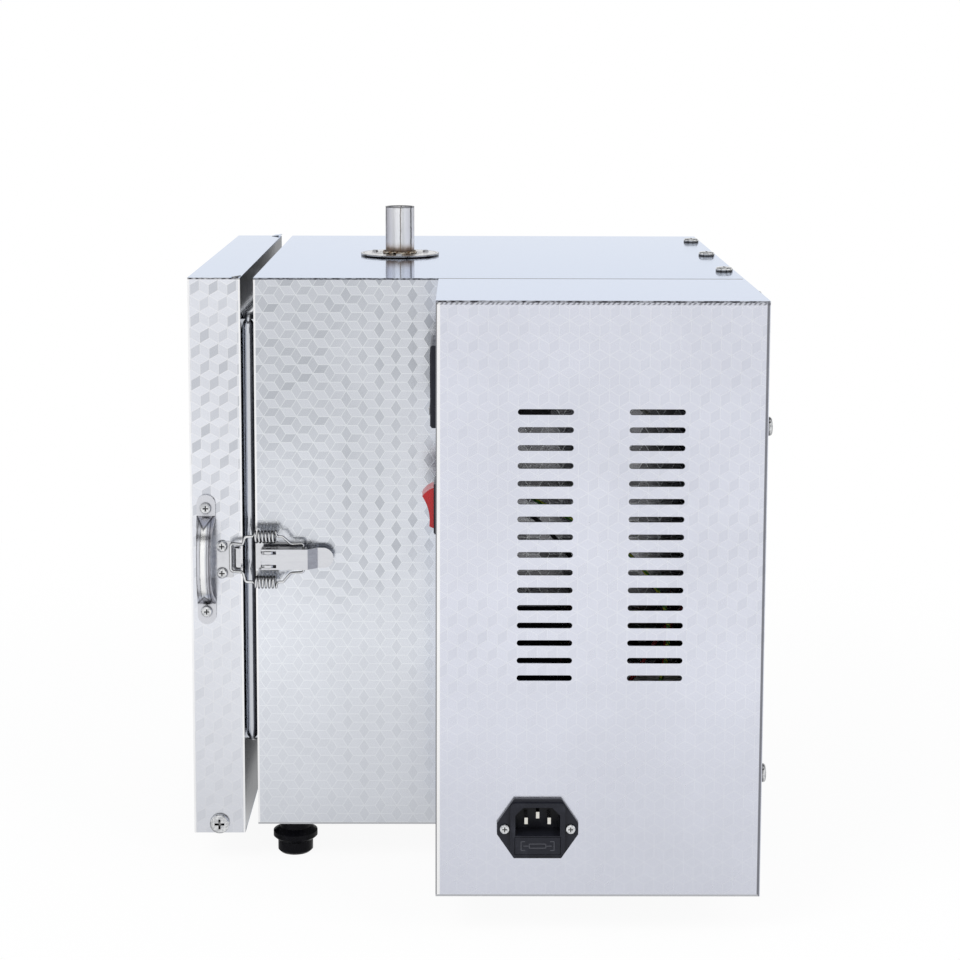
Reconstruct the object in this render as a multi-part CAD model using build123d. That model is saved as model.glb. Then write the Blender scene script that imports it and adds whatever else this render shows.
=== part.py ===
from build123d import *
import math
import os

# Furnace body, measured from its front, its right side and its underside
body_depth = 318.0
body_width = 322.0
body_height = 366.0
sheet = 1.2
foot_height = 27.0
service_depth = 34.0
fit_gap = 0.3
pin_gap = 0.06

# Chamber and its insulation
chamber_width = 170.0
chamber_height = 184.0
chamber_depth = 212.0
muffle_wall = 26.0
hearth_thickness = 8.0
hearth_margin = 4.0
element_rod = 3.2
element_pocket = 6.0
element_runs = 8
element_pitch = 18.0
element_bend = 7.5
element_inset = 22.0

# Thermocouple
probe_radius = 4.0
probe_reach = 30.0
probe_above_centre = 40.0
probe_head_radius = 13.0
probe_head_length = 16.0

# Chimney
chimney_from_front = 90.0
chimney_outer = 20.5
chimney_wall = 1.3
chimney_rise = 35.0
flange_diameter = 56.0
flange_thickness = 1.6
rivet_circle = 42.0
rivet_head = 4.4
rivet_count = 3

# Door
door_depth = 34.0
door_gap = 8.6
door_drop = 6.0
liner_side = 6.0
liner_top = 24.0
liner_foot = 52.0
liner_corner = 9.0
plug_depth = 12.0
plug_clearance = 3.0
door_screw_from_back = 17.0
door_screw_from_bottom = 6.6

# Door hinges
hinge_length = 62.0
hinge_leaf_width = 24.0
hinge_leaf = 1.6
hinge_barrel = 8.0
hinge_pin = 4.0
hinge_from_end = 74.0
hinge_screw_pitch = 42.0
hinge_knuckles = 5

# Handle
handle_length = 86.5
handle_width = 12.2
handle_grip_width = 8.8
handle_strap = 2.2
handle_crown = 0.5
handle_rise = 21.0
handle_foot = 14.5
handle_screw_pitch = 69.0
handle_from_back = 23.6
handle_slope = 12.0
handle_foot_bend = 3.4
handle_grip_bend = 24.0

# Draw latch
keeper_lower = 2.8
keeper_width = 24.0
keeper_length = 16.2
keeper_sheet = 1.1
keeper_lip_width = 16.0
keeper_lip_length = 5.4
keeper_lip_height = 5.0
keeper_lip_front = 3.4
keeper_back = 0.8
keeper_screw_pitch = 18.0
keeper_screw_from_front = 3.6
base_length = 27.0
base_width = 18.0
ear_half = 5.0
ear_thick = 1.6
lever_pivot_from_front = 9.2
lever_pivot_height = 9.4
lever_pin = 3.0
lever_width = 13.4
lever_top = 13.6
lever_sheet = 1.1
lever_start = 4.3
lever_length = 42.3
lever_flange_end = 25.0
lever_flange_depth = 7.5
lever_tip_drop = 5.6
lever_bend_length = 6.2
lever_tip_length = 10.3
link_from_pivot = 22.8
link_height = 8.0
bail_wire = 2.0
bail_gap = 0.5
bail_half = 9.2
bail_bend = 2.0
bail_lead = 3.8
bail_slope = 2.0
spring_wire = 1.6
spring_radius = 3.6
spring_turns = 6
spring_length = 13.4
spring_apart = 30.1
spring_height = 12.2
spring_lead = 2.6
spring_bend = 1.5
spring_leg_gap = 2.05
spring_leg_run = 8.0
spring_leg_rise = 1.9

# Screws: head diameter, head height, shank diameter, shank length
large_screw = (13.2, 3.0, 5.0, 12.0)
panel_screw = (11.4, 2.8, 4.0, 9.0)
small_screw = (7.2, 2.0, 3.2, 8.0)
inlet_screw = (6.0, 1.8, 2.8, 6.0)
rear_screw_inset = 50.0
rear_screw_from_back = 7.5
cover_screw_from_end = 76.0
cover_screw_from_side = 6.6
flange_fold = 15.0

# Feet
foot_rim = 29.8
foot_base = 23.6
foot_neck = 21.0
foot_from_front = 22.8
foot_from_side = 25.0
foot_rim_from_body = 12.6
foot_rim_thickness = 3.4
foot_shoulder = 2.8

# Control box on the right side
box_thickness = 126.0
box_depth = 198.0
louvre_length = 33.4
louvre_height = 3.5
louvre_pitch = 10.83
louvre_rows = 16
louvre_first = 66.6
louvre_columns = (65.5, 132.0)

# Temperature controller on the box front
bezel_size = 51.0
bezel_depth = 4.0
case_size = 45.0
case_depth = 70.0
controller_from_top = 57.5
window_width = 41.0
window_height = 22.0
window_depth = 1.0
key_width = 6.6
key_height = 4.2
key_spacing = 9.8
key_proud = 0.7
key_travel = 0.6
key_depth = 2.6
key_below_centre = 16.5

# Rocker switch on the box front
switch_from_top = 136.0
switch_height = 32.0
switch_width = 26.0
switch_flange = 2.0
switch_rim = 1.4
switch_body = 22.0
rocker_width = 20.0
rocker_radius = 13.4
rocker_pivot_in = 2.0
rocker_face = 7.2
rocker_scoop = 1.8
rocker_tilt = 13.0
rocker_axle = 4.4

# Mains inlet with its fuse drawer
inlet_from_front = 62.0
inlet_from_bottom = 43.6
inlet_width = 49.4
inlet_height = 37.2
inlet_top_width = 28.8
inlet_flange = 2.4
inlet_raised = 33.4
inlet_raised_corner = 3.2
inlet_raise = 1.6
inlet_body_depth = 27.0
inlet_screw_pitch = 40.0
socket_width = 27.2
socket_height = 17.8
socket_depth = 15.5
socket_above = 4.8
pin_spacing = 14.0
pin_width = 2.0
pin_height = 4.0
earth_rise = 3.6
pin_length = 13.5
drawer_width = 27.4
drawer_height = 10.6
drawer_below = 10.3
drawer_depth = 18.0
fuse_length = 20.0
fuse_radius = 2.5

# Parts inside the control box, from the box's front edge and the furnace's underside
relay_size = (45.0, 23.0, 58.0)
relay_place = (34.0, 96.0)
terminal_size = (62.0, 20.0, 22.0)
terminal_place = (98.0, 84.0)
wire_radius = 1.3
lead_hole = 5.0
lead_hole_height = 62.0
probe_hole_height = 236.0

CENTRED = (Align.CENTER, Align.CENTER, Align.MIN)
FRONT = Vector(-1, 0, 0)
BACK = Vector(1, 0, 0)
RIGHT = Vector(0, -1, 0)
LEFT = Vector(0, 1, 0)
UP = Vector(0, 0, 1)
DOWN = Vector(0, 0, -1)

# Places that many pieces share
middle_y = body_width / 2
middle_z = body_height / 2
door_back = -door_gap
door_front = -door_gap - door_depth
box_front = body_depth - box_depth
box_side = -box_thickness
box_middle = box_side / 2
keeper_z = middle_z - keeper_lower
latch_z = middle_z
hinge_x = -door_gap / 2
hinge_y = body_width + hinge_barrel / 2
inlet_x = box_front + inlet_from_front
controller_z = body_height - controller_from_top
switch_z = body_height - switch_from_top

# Origin under the middle of the whole furnace's outline, on the floor
back_reach = body_depth + panel_screw[1]
right_reach = box_side - inlet_flange - max(inlet_screw[1], inlet_raise)
left_reach = body_width + hinge_barrel
origin = Vector((door_front + back_reach) / 2, (right_reach + left_reach) / 2, -foot_height)


def block(x0, x1, y0, y1, z0, z1):
    """A box between two corners."""
    return Pos((x0 + x1) / 2, (y0 + y1) / 2, (z0 + z1) / 2) * Box(x1 - x0, y1 - y0, z1 - z0)


def stand(shape, at, towards):
    """A shape made along +Z, stood at a point and pointed along a direction."""
    return Plane(origin=at, z_dir=towards).location * shape


def bar(start, end, radius):
    """A round bar from one point to another."""
    run = Vector(*end) - Vector(*start)
    return stand(Cylinder(radius, run.length, align=CENTRED), start, run)


def hole(at, towards, radius, length):
    """A cutter for a round hole, half its length each side of a point."""
    start = Vector(*at) - Vector(*towards).normalized() * (length / 2)
    return stand(Cylinder(radius, length, align=CENTRED), start, towards)


def screw(sizes, at, towards):
    """A cross-recessed pan head screw whose head sits on a face at a point."""
    head_d, head_h, shank_d, shank_l = sizes
    head = Cylinder(head_d / 2, head_h, align=CENTRED)
    head = fillet(head.edges().filter_by(GeomType.CIRCLE).sort_by(Axis.Z)[-1], head_h * 0.55)
    slot = Pos(0, 0, head_h) * Box(head_d * 0.5, head_d * 0.11, head_h)
    head -= slot
    head -= Rot(0, 0, 90) * slot
    shank = Pos(0, 0, -shank_l) * Cylinder(shank_d / 2, shank_l, align=CENTRED)
    return stand(head + shank, at, towards)


def screw_holes(sizes, places, towards):
    """Clearance holes for a row of screws."""
    return [hole(at, towards, sizes[2] / 2 + pin_gap, sizes[3] * 2.4) for at in places]


def corner_turn(before, corner, after):
    """The directions out of a corner and the angle that the path turns there."""
    back = (before - corner).normalized()
    ahead = (after - corner).normalized()
    turn = math.pi - math.acos(max(-1.0, min(1.0, back.dot(ahead))))
    return back, ahead, turn


def rounded_edges(points, radii=None):
    """Straight runs joined by tangent arcs, as large as the runs allow unless their radii are given."""
    points = [Vector(*point) for point in points]
    edges = []
    bends = []
    start = points[0]
    for before, corner, after in zip(points, points[1:], points[2:]):
        back, ahead, turn = corner_turn(before, corner, after)
        shorter = min((before - corner).length, (after - corner).length)
        bend = radii[len(bends)] if radii else 0.45 * shorter / math.tan(turn / 2)
        reach = bend * math.tan(turn / 2)
        middle = corner + (back + ahead).normalized() * (bend / math.cos(turn / 2) - bend)
        edges.append(Line(start, corner + back * reach))
        edges.append(ThreePointArc(corner + back * reach, middle, corner + ahead * reach))
        start = corner + ahead * reach
        bends.append(bend)
    edges.append(Line(start, points[-1]))
    return edges, bends


def tube(edges, radius):
    """A round wire swept along edges that join end to end."""
    path = Wire(edges)
    section = Plane(origin=path @ 0, z_dir=path % 0) * Circle(radius)
    return sweep(section, path=path), path.length


def lead(name, points, radius):
    """An insulated wire along a route, with its bends and its volume printed."""
    edges, bends = rounded_edges(points)
    wire, length = tube(edges, radius)
    share = wire.volume / (math.pi * radius**2 * length)
    print(name, "bend radii", [round(r, 1) for r in bends], "volume share", round(share, 4))
    return wire


def biarc(start, start_way, end, end_way):
    """Two arcs that leave one point and reach another in given directions."""
    across = end - start
    ways = start_way + end_way
    denominator = 2 * (1 - start_way.dot(end_way))
    along = across.dot(ways)
    if abs(denominator) < 1e-9:
        reach = across.dot(across) / (4 * across.dot(end_way))
    else:
        reach = (-along + math.sqrt(along**2 + denominator * across.dot(across))) / denominator
    first = start + start_way * reach
    second = end - end_way * reach
    join = (first + second) * 0.5
    return [
        TangentArc(start, join, tangent=start_way),
        TangentArc(join, end, tangent=(second - first).normalized()),
    ]


# Furnace shell
def make_front_frame():
    """Front sheet with the chamber mouth."""
    frame = block(0, sheet, sheet, body_width - sheet, sheet, body_height - sheet)
    return frame - mouth_cut()


def mouth_cut():
    """The chamber mouth, through the front sheet."""
    return block(
        -sheet, sheet * 2,
        middle_y - chamber_width / 2, middle_y + chamber_width / 2,
        middle_z - chamber_height / 2, middle_z + chamber_height / 2,
    )


def make_side_panels():
    """Both side sheets, the right one with holes for the wires to the control box."""
    right = block(0, body_depth, 0, sheet, sheet, body_height - sheet)
    left = block(0, body_depth, body_width - sheet, body_width, sheet, body_height - sheet)
    for height in (lead_hole_height, probe_hole_height):
        right -= hole((service_x, 0, height), RIGHT, lead_hole, sheet * 6)
    for cutter in screw_holes(small_screw, hinge_screw_places(1), LEFT):
        left -= cutter
    return right, left


def rear_screw_places(top):
    """Where the rear panel's screws stand, on the top or on the underside."""
    level = body_height if top else 0
    x = body_depth - rear_screw_from_back
    return [(x, y, level) for y in (rear_screw_inset, middle_y, body_width - rear_screw_inset)]


def make_top_panel():
    """Smooth top sheet with the chimney hole."""
    panel = block(0, body_depth, 0, body_width, body_height - sheet, body_height)
    panel -= chimney_cut()
    for cutter in screw_holes(panel_screw, rear_screw_places(True), UP):
        panel -= cutter
    for cutter in rivet_places():
        panel -= hole(cutter, UP, rivet_head / 4 + pin_gap, sheet * 6)
    return panel


def make_floor_pan():
    """Bottom sheet that carries the feet."""
    pan = block(0, body_depth, 0, body_width, 0, sheet)
    for cutter in screw_holes(panel_screw, rear_screw_places(False), UP):
        pan -= cutter
    for x, y in foot_places():
        pan -= hole((x, y, 0), UP, small_screw[2] / 2 + pin_gap, sheet * 6)
    return pan


def make_rear_panel():
    """Rear sheet with folds at the top and bottom that the screws bite into."""
    inside = body_depth - sheet
    panel = block(inside, body_depth, sheet, body_width - sheet, sheet, body_height - sheet)
    for low, high in ((body_height - 2 * sheet, body_height - sheet), (sheet, 2 * sheet)):
        panel += block(inside - flange_fold, inside, sheet, body_width - sheet, low, high)
    for top in (True, False):
        for cutter in screw_holes(panel_screw, rear_screw_places(top), UP):
            panel -= cutter
    return panel


# Chamber, insulation and heating
muffle_back = sheet + chamber_depth + muffle_wall
blanket_back = body_depth - sheet - service_depth
service_x = (blanket_back + body_depth - sheet) / 2
muffle_half_y = chamber_width / 2 + muffle_wall
muffle_half_z = chamber_height / 2 + muffle_wall
probe_z = middle_z + probe_above_centre


def chimney_cut(extra=fit_gap):
    """Round hole for the chimney pipe."""
    return hole((chimney_from_front, middle_y, body_height), UP, chimney_outer / 2 + extra, body_height)


def element_points(side):
    """Serpentine route of one heating rod beside a chamber wall, ends out at the back."""
    y = middle_y + side * (chamber_width / 2 + element_pocket / 2)
    low = middle_z - element_pitch * (element_runs - 1) / 2
    front = sheet + element_inset
    back = sheet + chamber_depth - element_inset
    tail = blanket_back + service_depth * 0.3
    points = [(tail, y, low)]
    for run in range(element_runs - 1):
        x = front if run % 2 == 0 else back
        points.append((x, y, low + run * element_pitch))
        points.append((x, y, low + (run + 1) * element_pitch))
    points.append((tail, y, low + (element_runs - 1) * element_pitch))
    return points


def element_ends():
    """Where the heating rods come out of the insulation."""
    return [points[end] for points in (element_points(-1), element_points(1)) for end in (0, -1)]


def make_heating_elements():
    """Two resistance rods, one in each side wall's pocket."""
    rods = []
    for side in (-1, 1):
        route = element_points(side)
        edges, _ = rounded_edges(route, [element_bend] * (len(route) - 2))
        rod, _ = tube(edges, element_rod / 2)
        rods.append(rod)
    return rods


def make_muffle():
    """Vacuum-formed ceramic fibre chamber, open at the front, with a pocket in each side wall."""
    shell = block(
        sheet, muffle_back, middle_y - muffle_half_y, middle_y + muffle_half_y,
        middle_z - muffle_half_z, middle_z + muffle_half_z,
    )
    cavity = block(
        0, sheet + chamber_depth,
        middle_y - chamber_width / 2, middle_y + chamber_width / 2,
        middle_z - chamber_height / 2, middle_z + chamber_height / 2,
    )
    shell -= cavity
    span = element_pitch * (element_runs - 1) / 2 + element_rod * 2
    pocket_half = chamber_width / 2 + element_pocket
    shell -= block(
        sheet + element_inset - element_rod * 2, sheet + chamber_depth - element_inset + element_rod * 2,
        middle_y - pocket_half, middle_y + pocket_half, middle_z - span, middle_z + span,
    )
    back_half = chamber_depth + muffle_wall
    for x, y, z in element_ends():
        start = sheet + chamber_depth - element_inset
        shell -= bar((start, y, z), (start + back_half, y, z), element_rod / 2 + fit_gap)
    shell -= bar((sheet + chamber_depth / 2, middle_y, probe_z), (body_depth, middle_y, probe_z),
                 probe_radius + fit_gap)
    return shell - chimney_cut()


def make_blanket():
    """Ceramic fibre blanket packed between the chamber and the case."""
    blanket = block(sheet, blanket_back, sheet, body_width - sheet, sheet, body_height - sheet)
    blanket -= block(
        0, muffle_back, middle_y - muffle_half_y, middle_y + muffle_half_y,
        middle_z - muffle_half_z, middle_z + muffle_half_z,
    )
    for x, y, z in element_ends():
        blanket -= bar((muffle_back - sheet, y, z), (body_depth, y, z), element_rod / 2 + fit_gap)
    blanket -= bar((muffle_back - sheet, middle_y, probe_z), (body_depth, middle_y, probe_z),
                   probe_radius + fit_gap)
    blanket -= chimney_cut()
    for x, y in foot_places():
        blanket -= hole((x, y, 0), UP, small_screw[2] / 2 + fit_gap, small_screw[3] * 2.4)
    for cutter in screw_holes(small_screw, hinge_screw_places(1), LEFT):
        blanket -= cutter
    return blanket


def make_hearth():
    """Loose ceramic plate on the chamber floor."""
    floor = middle_z - chamber_height / 2
    return block(
        sheet + plug_depth + hearth_margin, sheet + chamber_depth - hearth_margin,
        middle_y - chamber_width / 2 + hearth_margin, middle_y + chamber_width / 2 - hearth_margin,
        floor, floor + hearth_thickness,
    )


def make_thermocouple():
    """Ceramic sheath through the back wall and its terminal head in the rear space."""
    tip = (sheet + chamber_depth - probe_reach, middle_y, probe_z)
    sheath = bar(tip, (blanket_back, middle_y, probe_z), probe_radius)
    head = bar((blanket_back, middle_y, probe_z),
               (blanket_back + probe_head_length, middle_y, probe_z), probe_head_radius)
    return sheath, head


# Chimney
def rivet_places():
    """Rivets on a circle round the chimney."""
    places = []
    for turn in range(rivet_count):
        angle = math.radians(30 + 360 / rivet_count * turn)
        x = chimney_from_front + rivet_circle / 2 * math.cos(angle)
        places.append((x, middle_y + rivet_circle / 2 * math.sin(angle), body_height))
    return places


def make_chimney():
    """Pipe from the chamber's roof, its welded flange and the flange's rivets."""
    bottom = middle_z + chamber_height / 2
    top = body_height + chimney_rise
    axis_x, axis_y = chimney_from_front, middle_y
    pipe = bar((axis_x, axis_y, bottom), (axis_x, axis_y, top), chimney_outer / 2)
    pipe -= bar((axis_x, axis_y, bottom - 1), (axis_x, axis_y, top + 1), chimney_outer / 2 - chimney_wall)
    flange = bar((axis_x, axis_y, body_height), (axis_x, axis_y, body_height + flange_thickness),
                 flange_diameter / 2)
    flange -= bar((axis_x, axis_y, body_height - 1), (axis_x, axis_y, top), chimney_outer / 2)
    rivets = []
    for x, y, z in rivet_places():
        flange -= hole((x, y, z), UP, rivet_head / 4 + pin_gap, flange_thickness * 6)
        dome = Cylinder(rivet_head / 2, rivet_head / 4, align=CENTRED)
        dome = fillet(dome.edges().filter_by(GeomType.CIRCLE).sort_by(Axis.Z)[-1], rivet_head / 5)
        grip = flange_thickness + sheet
        shank = Pos(0, 0, -grip) * Cylinder(rivet_head / 4, grip, align=CENTRED)
        rivets.append(stand(dome + shank, (x, y, z + flange_thickness), UP))
    return pipe, flange, rivets


# Feet
def foot_places():
    """Centres of the four feet."""
    xs = (foot_from_front, body_depth - foot_from_front)
    ys = (foot_from_side, body_width - foot_from_side)
    return [(x, y) for x in xs for y in ys]


def make_feet():
    """Black moulded feet, each a turned profile, and the screws that hold them."""
    shoulder_top = -foot_rim_from_body + foot_shoulder
    rim_top = -foot_rim_from_body
    rim_low = rim_top - foot_rim_thickness
    profile = Polyline(
        (0, 0), (foot_neck / 2, 0), (foot_neck / 2, shoulder_top), (foot_rim / 2 - 1, rim_top + 0.6),
        (foot_rim / 2, rim_top), (foot_rim / 2, rim_low), (foot_base / 2, rim_low - foot_shoulder),
        (foot_base / 2, -foot_height + 1.5), (foot_base / 2 - 1.5, -foot_height), (0, -foot_height), (0, 0),
    )
    foot = revolve(Plane.XZ * make_face(profile), Axis.Z)
    head_d, head_h, shank_d, _ = small_screw
    foot -= Pos(0, 0, -foot_height) * Cylinder(head_d / 2 + fit_gap, head_h * 3, align=CENTRED)
    foot -= hole((0, 0, 0), UP, shank_d / 2 + pin_gap, foot_height * 2)
    sizes = (head_d, head_h, shank_d, foot_height - head_h * 3 + small_screw[3])
    feet = []
    screws = []
    for x, y in foot_places():
        feet.append(Pos(x, y, 0) * foot)
        screws.append(screw(sizes, (x, y, -foot_height + head_h * 3), DOWN))
    return feet, screws


# Control box
def control_screw_places():
    """Screws of the box's back cover: two beside the outer edge, one at the top and one below."""
    side = box_side + cover_screw_from_side
    places = [(body_depth, side, z) for z in (cover_screw_from_end, body_height - cover_screw_from_end)]
    ends = (cover_screw_from_side, body_height - cover_screw_from_side)
    return places + [(body_depth, box_middle, z) for z in ends]


def make_control_panels():
    """The box's side, top, floor and front sheets, each folded where the back cover screws on."""
    back = body_depth - sheet
    inner = box_side + sheet
    fold = inner + flange_fold
    side = block(box_front, back, box_side, inner, sheet, body_height - sheet)
    side += block(back - sheet, back, inner, fold, 2 * sheet, body_height - 2 * sheet)
    top = block(box_front, back, box_side, 0, body_height - sheet, body_height)
    floor = block(box_front, back, box_side, 0, 0, sheet)
    beside = fold + fit_gap
    top += block(back - sheet, back, beside, 0, body_height - sheet - flange_fold, body_height - sheet)
    floor += block(back - sheet, back, beside, 0, sheet, sheet + flange_fold)
    front = block(box_front, box_front + sheet, inner, 0, sheet, body_height - sheet)
    front -= square_cut(case_size / 2 + fit_gap, case_size / 2 + fit_gap, controller_z)
    clear = fit_gap - switch_rim
    front -= square_cut(switch_width / 2 + clear, switch_height / 2 + clear, switch_z)
    side -= louvre_cuts()
    side -= inlet_cut()
    cover = block(back, body_depth, box_side, 0, 0, body_height)
    for cutter in screw_holes(panel_screw, control_screw_places(), BACK):
        side -= cutter
        top -= cutter
        floor -= cutter
        cover -= cutter
    screws = [screw(panel_screw, place, BACK) for place in control_screw_places()]
    return side, top, floor, front, cover, screws


def square_cut(half_width, half_height, centre_z):
    """A rectangular hole through the box's front sheet."""
    return block(box_front - sheet, box_front + 2 * sheet, box_middle - half_width, box_middle + half_width,
                 centre_z - half_height, centre_z + half_height)


def louvre_cuts():
    """Two columns of round-ended slots."""
    cuts = None
    for column in louvre_columns:
        for row in range(louvre_rows):
            z = body_height - louvre_first - row * louvre_pitch
            slot = extrude(SlotOverall(louvre_length, louvre_height), 8, both=True)
            slot = Pos(box_front + column, box_side, z) * (Rot(90, 0, 0) * slot)
            cuts = slot if cuts is None else cuts + slot
    return cuts


def inlet_cut():
    """Hole in the box's side for the inlet's body and its screws."""
    half = inlet_raised / 2 - 1
    cut = block(inlet_x - half, inlet_x + half, box_side - 9, box_side + 9,
                inlet_from_bottom - half, inlet_from_bottom + half)
    for place in inlet_screw_places():
        cut += hole(place, RIGHT, inlet_screw[2] / 2 + pin_gap, sheet * 8)
    return cut


# Temperature controller
def make_controller():
    """Moulded case with bezel, its display window and four push keys."""
    face = box_front - bezel_depth
    half = bezel_size / 2
    bezel = block(face, box_front, box_middle - half, box_middle + half,
                  controller_z - half, controller_z + half)
    bezel = chamfer(bezel.faces().sort_by(Axis.X)[0].edges(), 1.2)
    body = block(box_front, box_front + case_depth, box_middle - case_size / 2, box_middle + case_size / 2,
                 controller_z - case_size / 2, controller_z + case_size / 2)
    case = bezel + body
    window_z = controller_z + half - 5 - window_height / 2
    window = block(face - 0.2, face + window_depth, box_middle - window_width / 2,
                   box_middle + window_width / 2, window_z - window_height / 2, window_z + window_height / 2)
    case -= block(face - 1, face + window_depth, box_middle - window_width / 2,
                  box_middle + window_width / 2, window_z - window_height / 2, window_z + window_height / 2)
    keys = []
    key_z = controller_z - key_below_centre
    for number in range(4):
        y = box_middle + (number - 1.5) * key_spacing
        well_w, well_h = key_width / 2 + fit_gap, key_height / 2 + fit_gap
        case -= block(face - 1, face + key_depth + key_travel, y - well_w, y + well_w,
                      key_z - well_h, key_z + well_h)
        key = block(face - key_proud, face + key_depth - fit_gap, y - key_width / 2, y + key_width / 2,
                    key_z - key_height / 2, key_z + key_height / 2)
        keys.append(chamfer(key.faces().sort_by(Axis.X)[0].edges(), 0.4))
    return case, window, keys


# Rocker switch
def make_switch():
    """Switch housing with its snap-in frame, and the rocker that turns in it."""
    face = box_front - switch_flange
    half_w, half_h = switch_width / 2, switch_height / 2
    frame = block(face, box_front, box_middle - half_w, box_middle + half_w,
                  switch_z - half_h, switch_z + half_h)
    frame = chamfer(frame.faces().sort_by(Axis.X)[0].edges(), 0.8)
    inner_w, inner_h = half_w - switch_rim, half_h - switch_rim
    housing = frame + block(box_front, box_front + switch_body, box_middle - inner_w, box_middle + inner_w,
                            switch_z - inner_h, switch_z + inner_h)
    pivot = (box_front + rocker_pivot_in, box_middle, switch_z)
    well = hole(pivot, LEFT, rocker_radius + fit_gap, rocker_width + 2 * fit_gap)
    housing -= well
    bore = rocker_axle / 2 + pin_gap
    axle = bar((pivot[0], box_middle - inner_w, switch_z), (pivot[0], box_middle + inner_w, switch_z),
               rocker_axle / 2)
    housing += axle
    rocker = hole(pivot, LEFT, rocker_radius, rocker_width)
    outer = rocker_face + rocker_pivot_in
    rocker -= block(pivot[0] + bore * 2, pivot[0] + 99, box_side, 0, switch_z - 99, switch_z + 99)
    rocker -= block(pivot[0] - 99, pivot[0] - outer, box_side, 0, switch_z - 99, switch_z + 99)
    chord = math.sqrt(rocker_radius**2 - outer**2)
    scoop = (chord**2 + rocker_scoop**2) / (2 * rocker_scoop)
    scoop_at = (pivot[0] - outer - scoop + rocker_scoop, box_middle, switch_z)
    rocker -= hole(scoop_at, LEFT, scoop, rocker_width * 2)
    rocker -= hole(pivot, LEFT, bore, rocker_width * 2)
    tilt = Pos(*pivot) * Rot(0, -rocker_tilt, 0) * Pos(*(Vector(*pivot) * -1))
    return housing, tilt * rocker


# Mains inlet
def inlet_screw_places():
    """The two screws beside the inlet, on the box's side."""
    return [(inlet_x + side * inlet_screw_pitch / 2, box_side, inlet_from_bottom) for side in (-1, 1)]


def make_inlet():
    """Inlet housing with its socket, three pins, fuse drawer, fuse and screws."""
    half_w, half_h, half_t = inlet_width / 2, inlet_height / 2, inlet_top_width / 2
    outline = Polyline((-half_w, -3.5), (-half_t, -half_h), (half_t, -half_h), (half_w, -3.5), (half_w, 3.5),
                       (half_t, half_h), (-half_t, half_h), (-half_w, 3.5), (-half_w, -3.5))
    side_plane = Plane(origin=(inlet_x, box_side, inlet_from_bottom), x_dir=BACK, z_dir=RIGHT)
    flange = extrude(side_plane * make_face(outline), inlet_flange)
    raised = RectangleRounded(inlet_raised, inlet_raised - 0.6, inlet_raised_corner)
    flange += extrude(side_plane.offset(inlet_flange) * raised, inlet_raise)
    inner = Rectangle(inlet_raised - 3, inlet_raised - 3)
    housing = flange + extrude(side_plane * inner, -inlet_body_depth)
    top = side_plane.offset(inlet_flange + inlet_raise)
    corner = socket_width * 0.18
    half_s, high_s = socket_width / 2, socket_height / 2
    mouth = Polyline((-half_s, -high_s), (half_s, -high_s), (half_s, high_s - corner),
                     (half_s - corner, high_s), (corner - half_s, high_s), (-half_s, high_s - corner),
                     (-half_s, -high_s))
    socket = Pos(0, socket_above) * make_face(mouth)
    housing -= extrude(top * socket, -socket_depth)
    pins = []
    for across, up in ((-pin_spacing / 2, 0), (0, earth_rise), (pin_spacing / 2, 0)):
        section = Pos(across, socket_above + up) * Rectangle(pin_width, pin_height)
        pins.append(extrude(top.offset(-socket_depth) * section, pin_length))
    well = Pos(0, -drawer_below) * Rectangle(drawer_width + 2 * fit_gap, drawer_height + 2 * fit_gap)
    housing -= extrude(top * well, -drawer_depth - fit_gap)
    outer_y = box_side - inlet_flange - inlet_raise
    drawer_z = inlet_from_bottom - drawer_below
    drawer = block(inlet_x - drawer_width / 2, inlet_x + drawer_width / 2, outer_y, outer_y + drawer_depth,
                   drawer_z - drawer_height / 2, drawer_z + drawer_height / 2)
    fuse_y = outer_y + drawer_depth / 2
    cradle = fuse_radius + fit_gap
    drawer -= block(inlet_x - fuse_length / 2 - fit_gap, inlet_x + fuse_length / 2 + fit_gap,
                    fuse_y - cradle, fuse_y + cradle, drawer_z - cradle, drawer_z + drawer_height)
    fuse = bar((inlet_x - fuse_length / 2, fuse_y, drawer_z), (inlet_x + fuse_length / 2, fuse_y, drawer_z),
               fuse_radius)
    for place in inlet_screw_places():
        housing -= hole(place, RIGHT, inlet_screw[2] / 2 + pin_gap, inlet_flange * 6)
    screws = [screw(inlet_screw, (x, y - inlet_flange, z), RIGHT) for x, y, z in inlet_screw_places()]
    return housing, pins, drawer, fuse, screws


# Parts and wires inside the control box
relay_x = box_front + relay_place[0]
terminal_x = box_front + terminal_place[0]
inlet_rear = box_side + inlet_body_depth + fit_gap
socket_z = inlet_from_bottom + socket_above
terminal_top = terminal_place[1] + terminal_size[2] + fit_gap
rod_low = middle_z - element_pitch * (element_runs - 1) / 2
rod_high = middle_z + element_pitch * (element_runs - 1) / 2
rod_y = (middle_y - (chamber_width + element_pocket) / 2, middle_y + (chamber_width + element_pocket) / 2)
rod_touch = element_rod / 2 + fit_gap
rod_x = blanket_back + 6.0


def make_control_parts():
    """Solid state relay and screw terminal block, both on the furnace's side."""
    relay = block(relay_x, relay_x + relay_size[0], -relay_size[1], 0, relay_place[1],
                  relay_place[1] + relay_size[2])
    relay = chamfer(relay.faces().sort_by(Axis.Y)[0].edges(), 1.5)
    terminal = block(terminal_x, terminal_x + terminal_size[0], -terminal_size[1], 0, terminal_place[1],
                     terminal_place[1] + terminal_size[2])
    pitch = terminal_size[0] / 5
    for way in range(5):
        at = (terminal_x + pitch * (way + 0.5), -terminal_size[1], terminal_place[1] + terminal_size[2] / 2)
        terminal -= hole(at, RIGHT, pitch * 0.28, terminal_size[1] * 0.6)
    return relay, terminal


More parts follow.
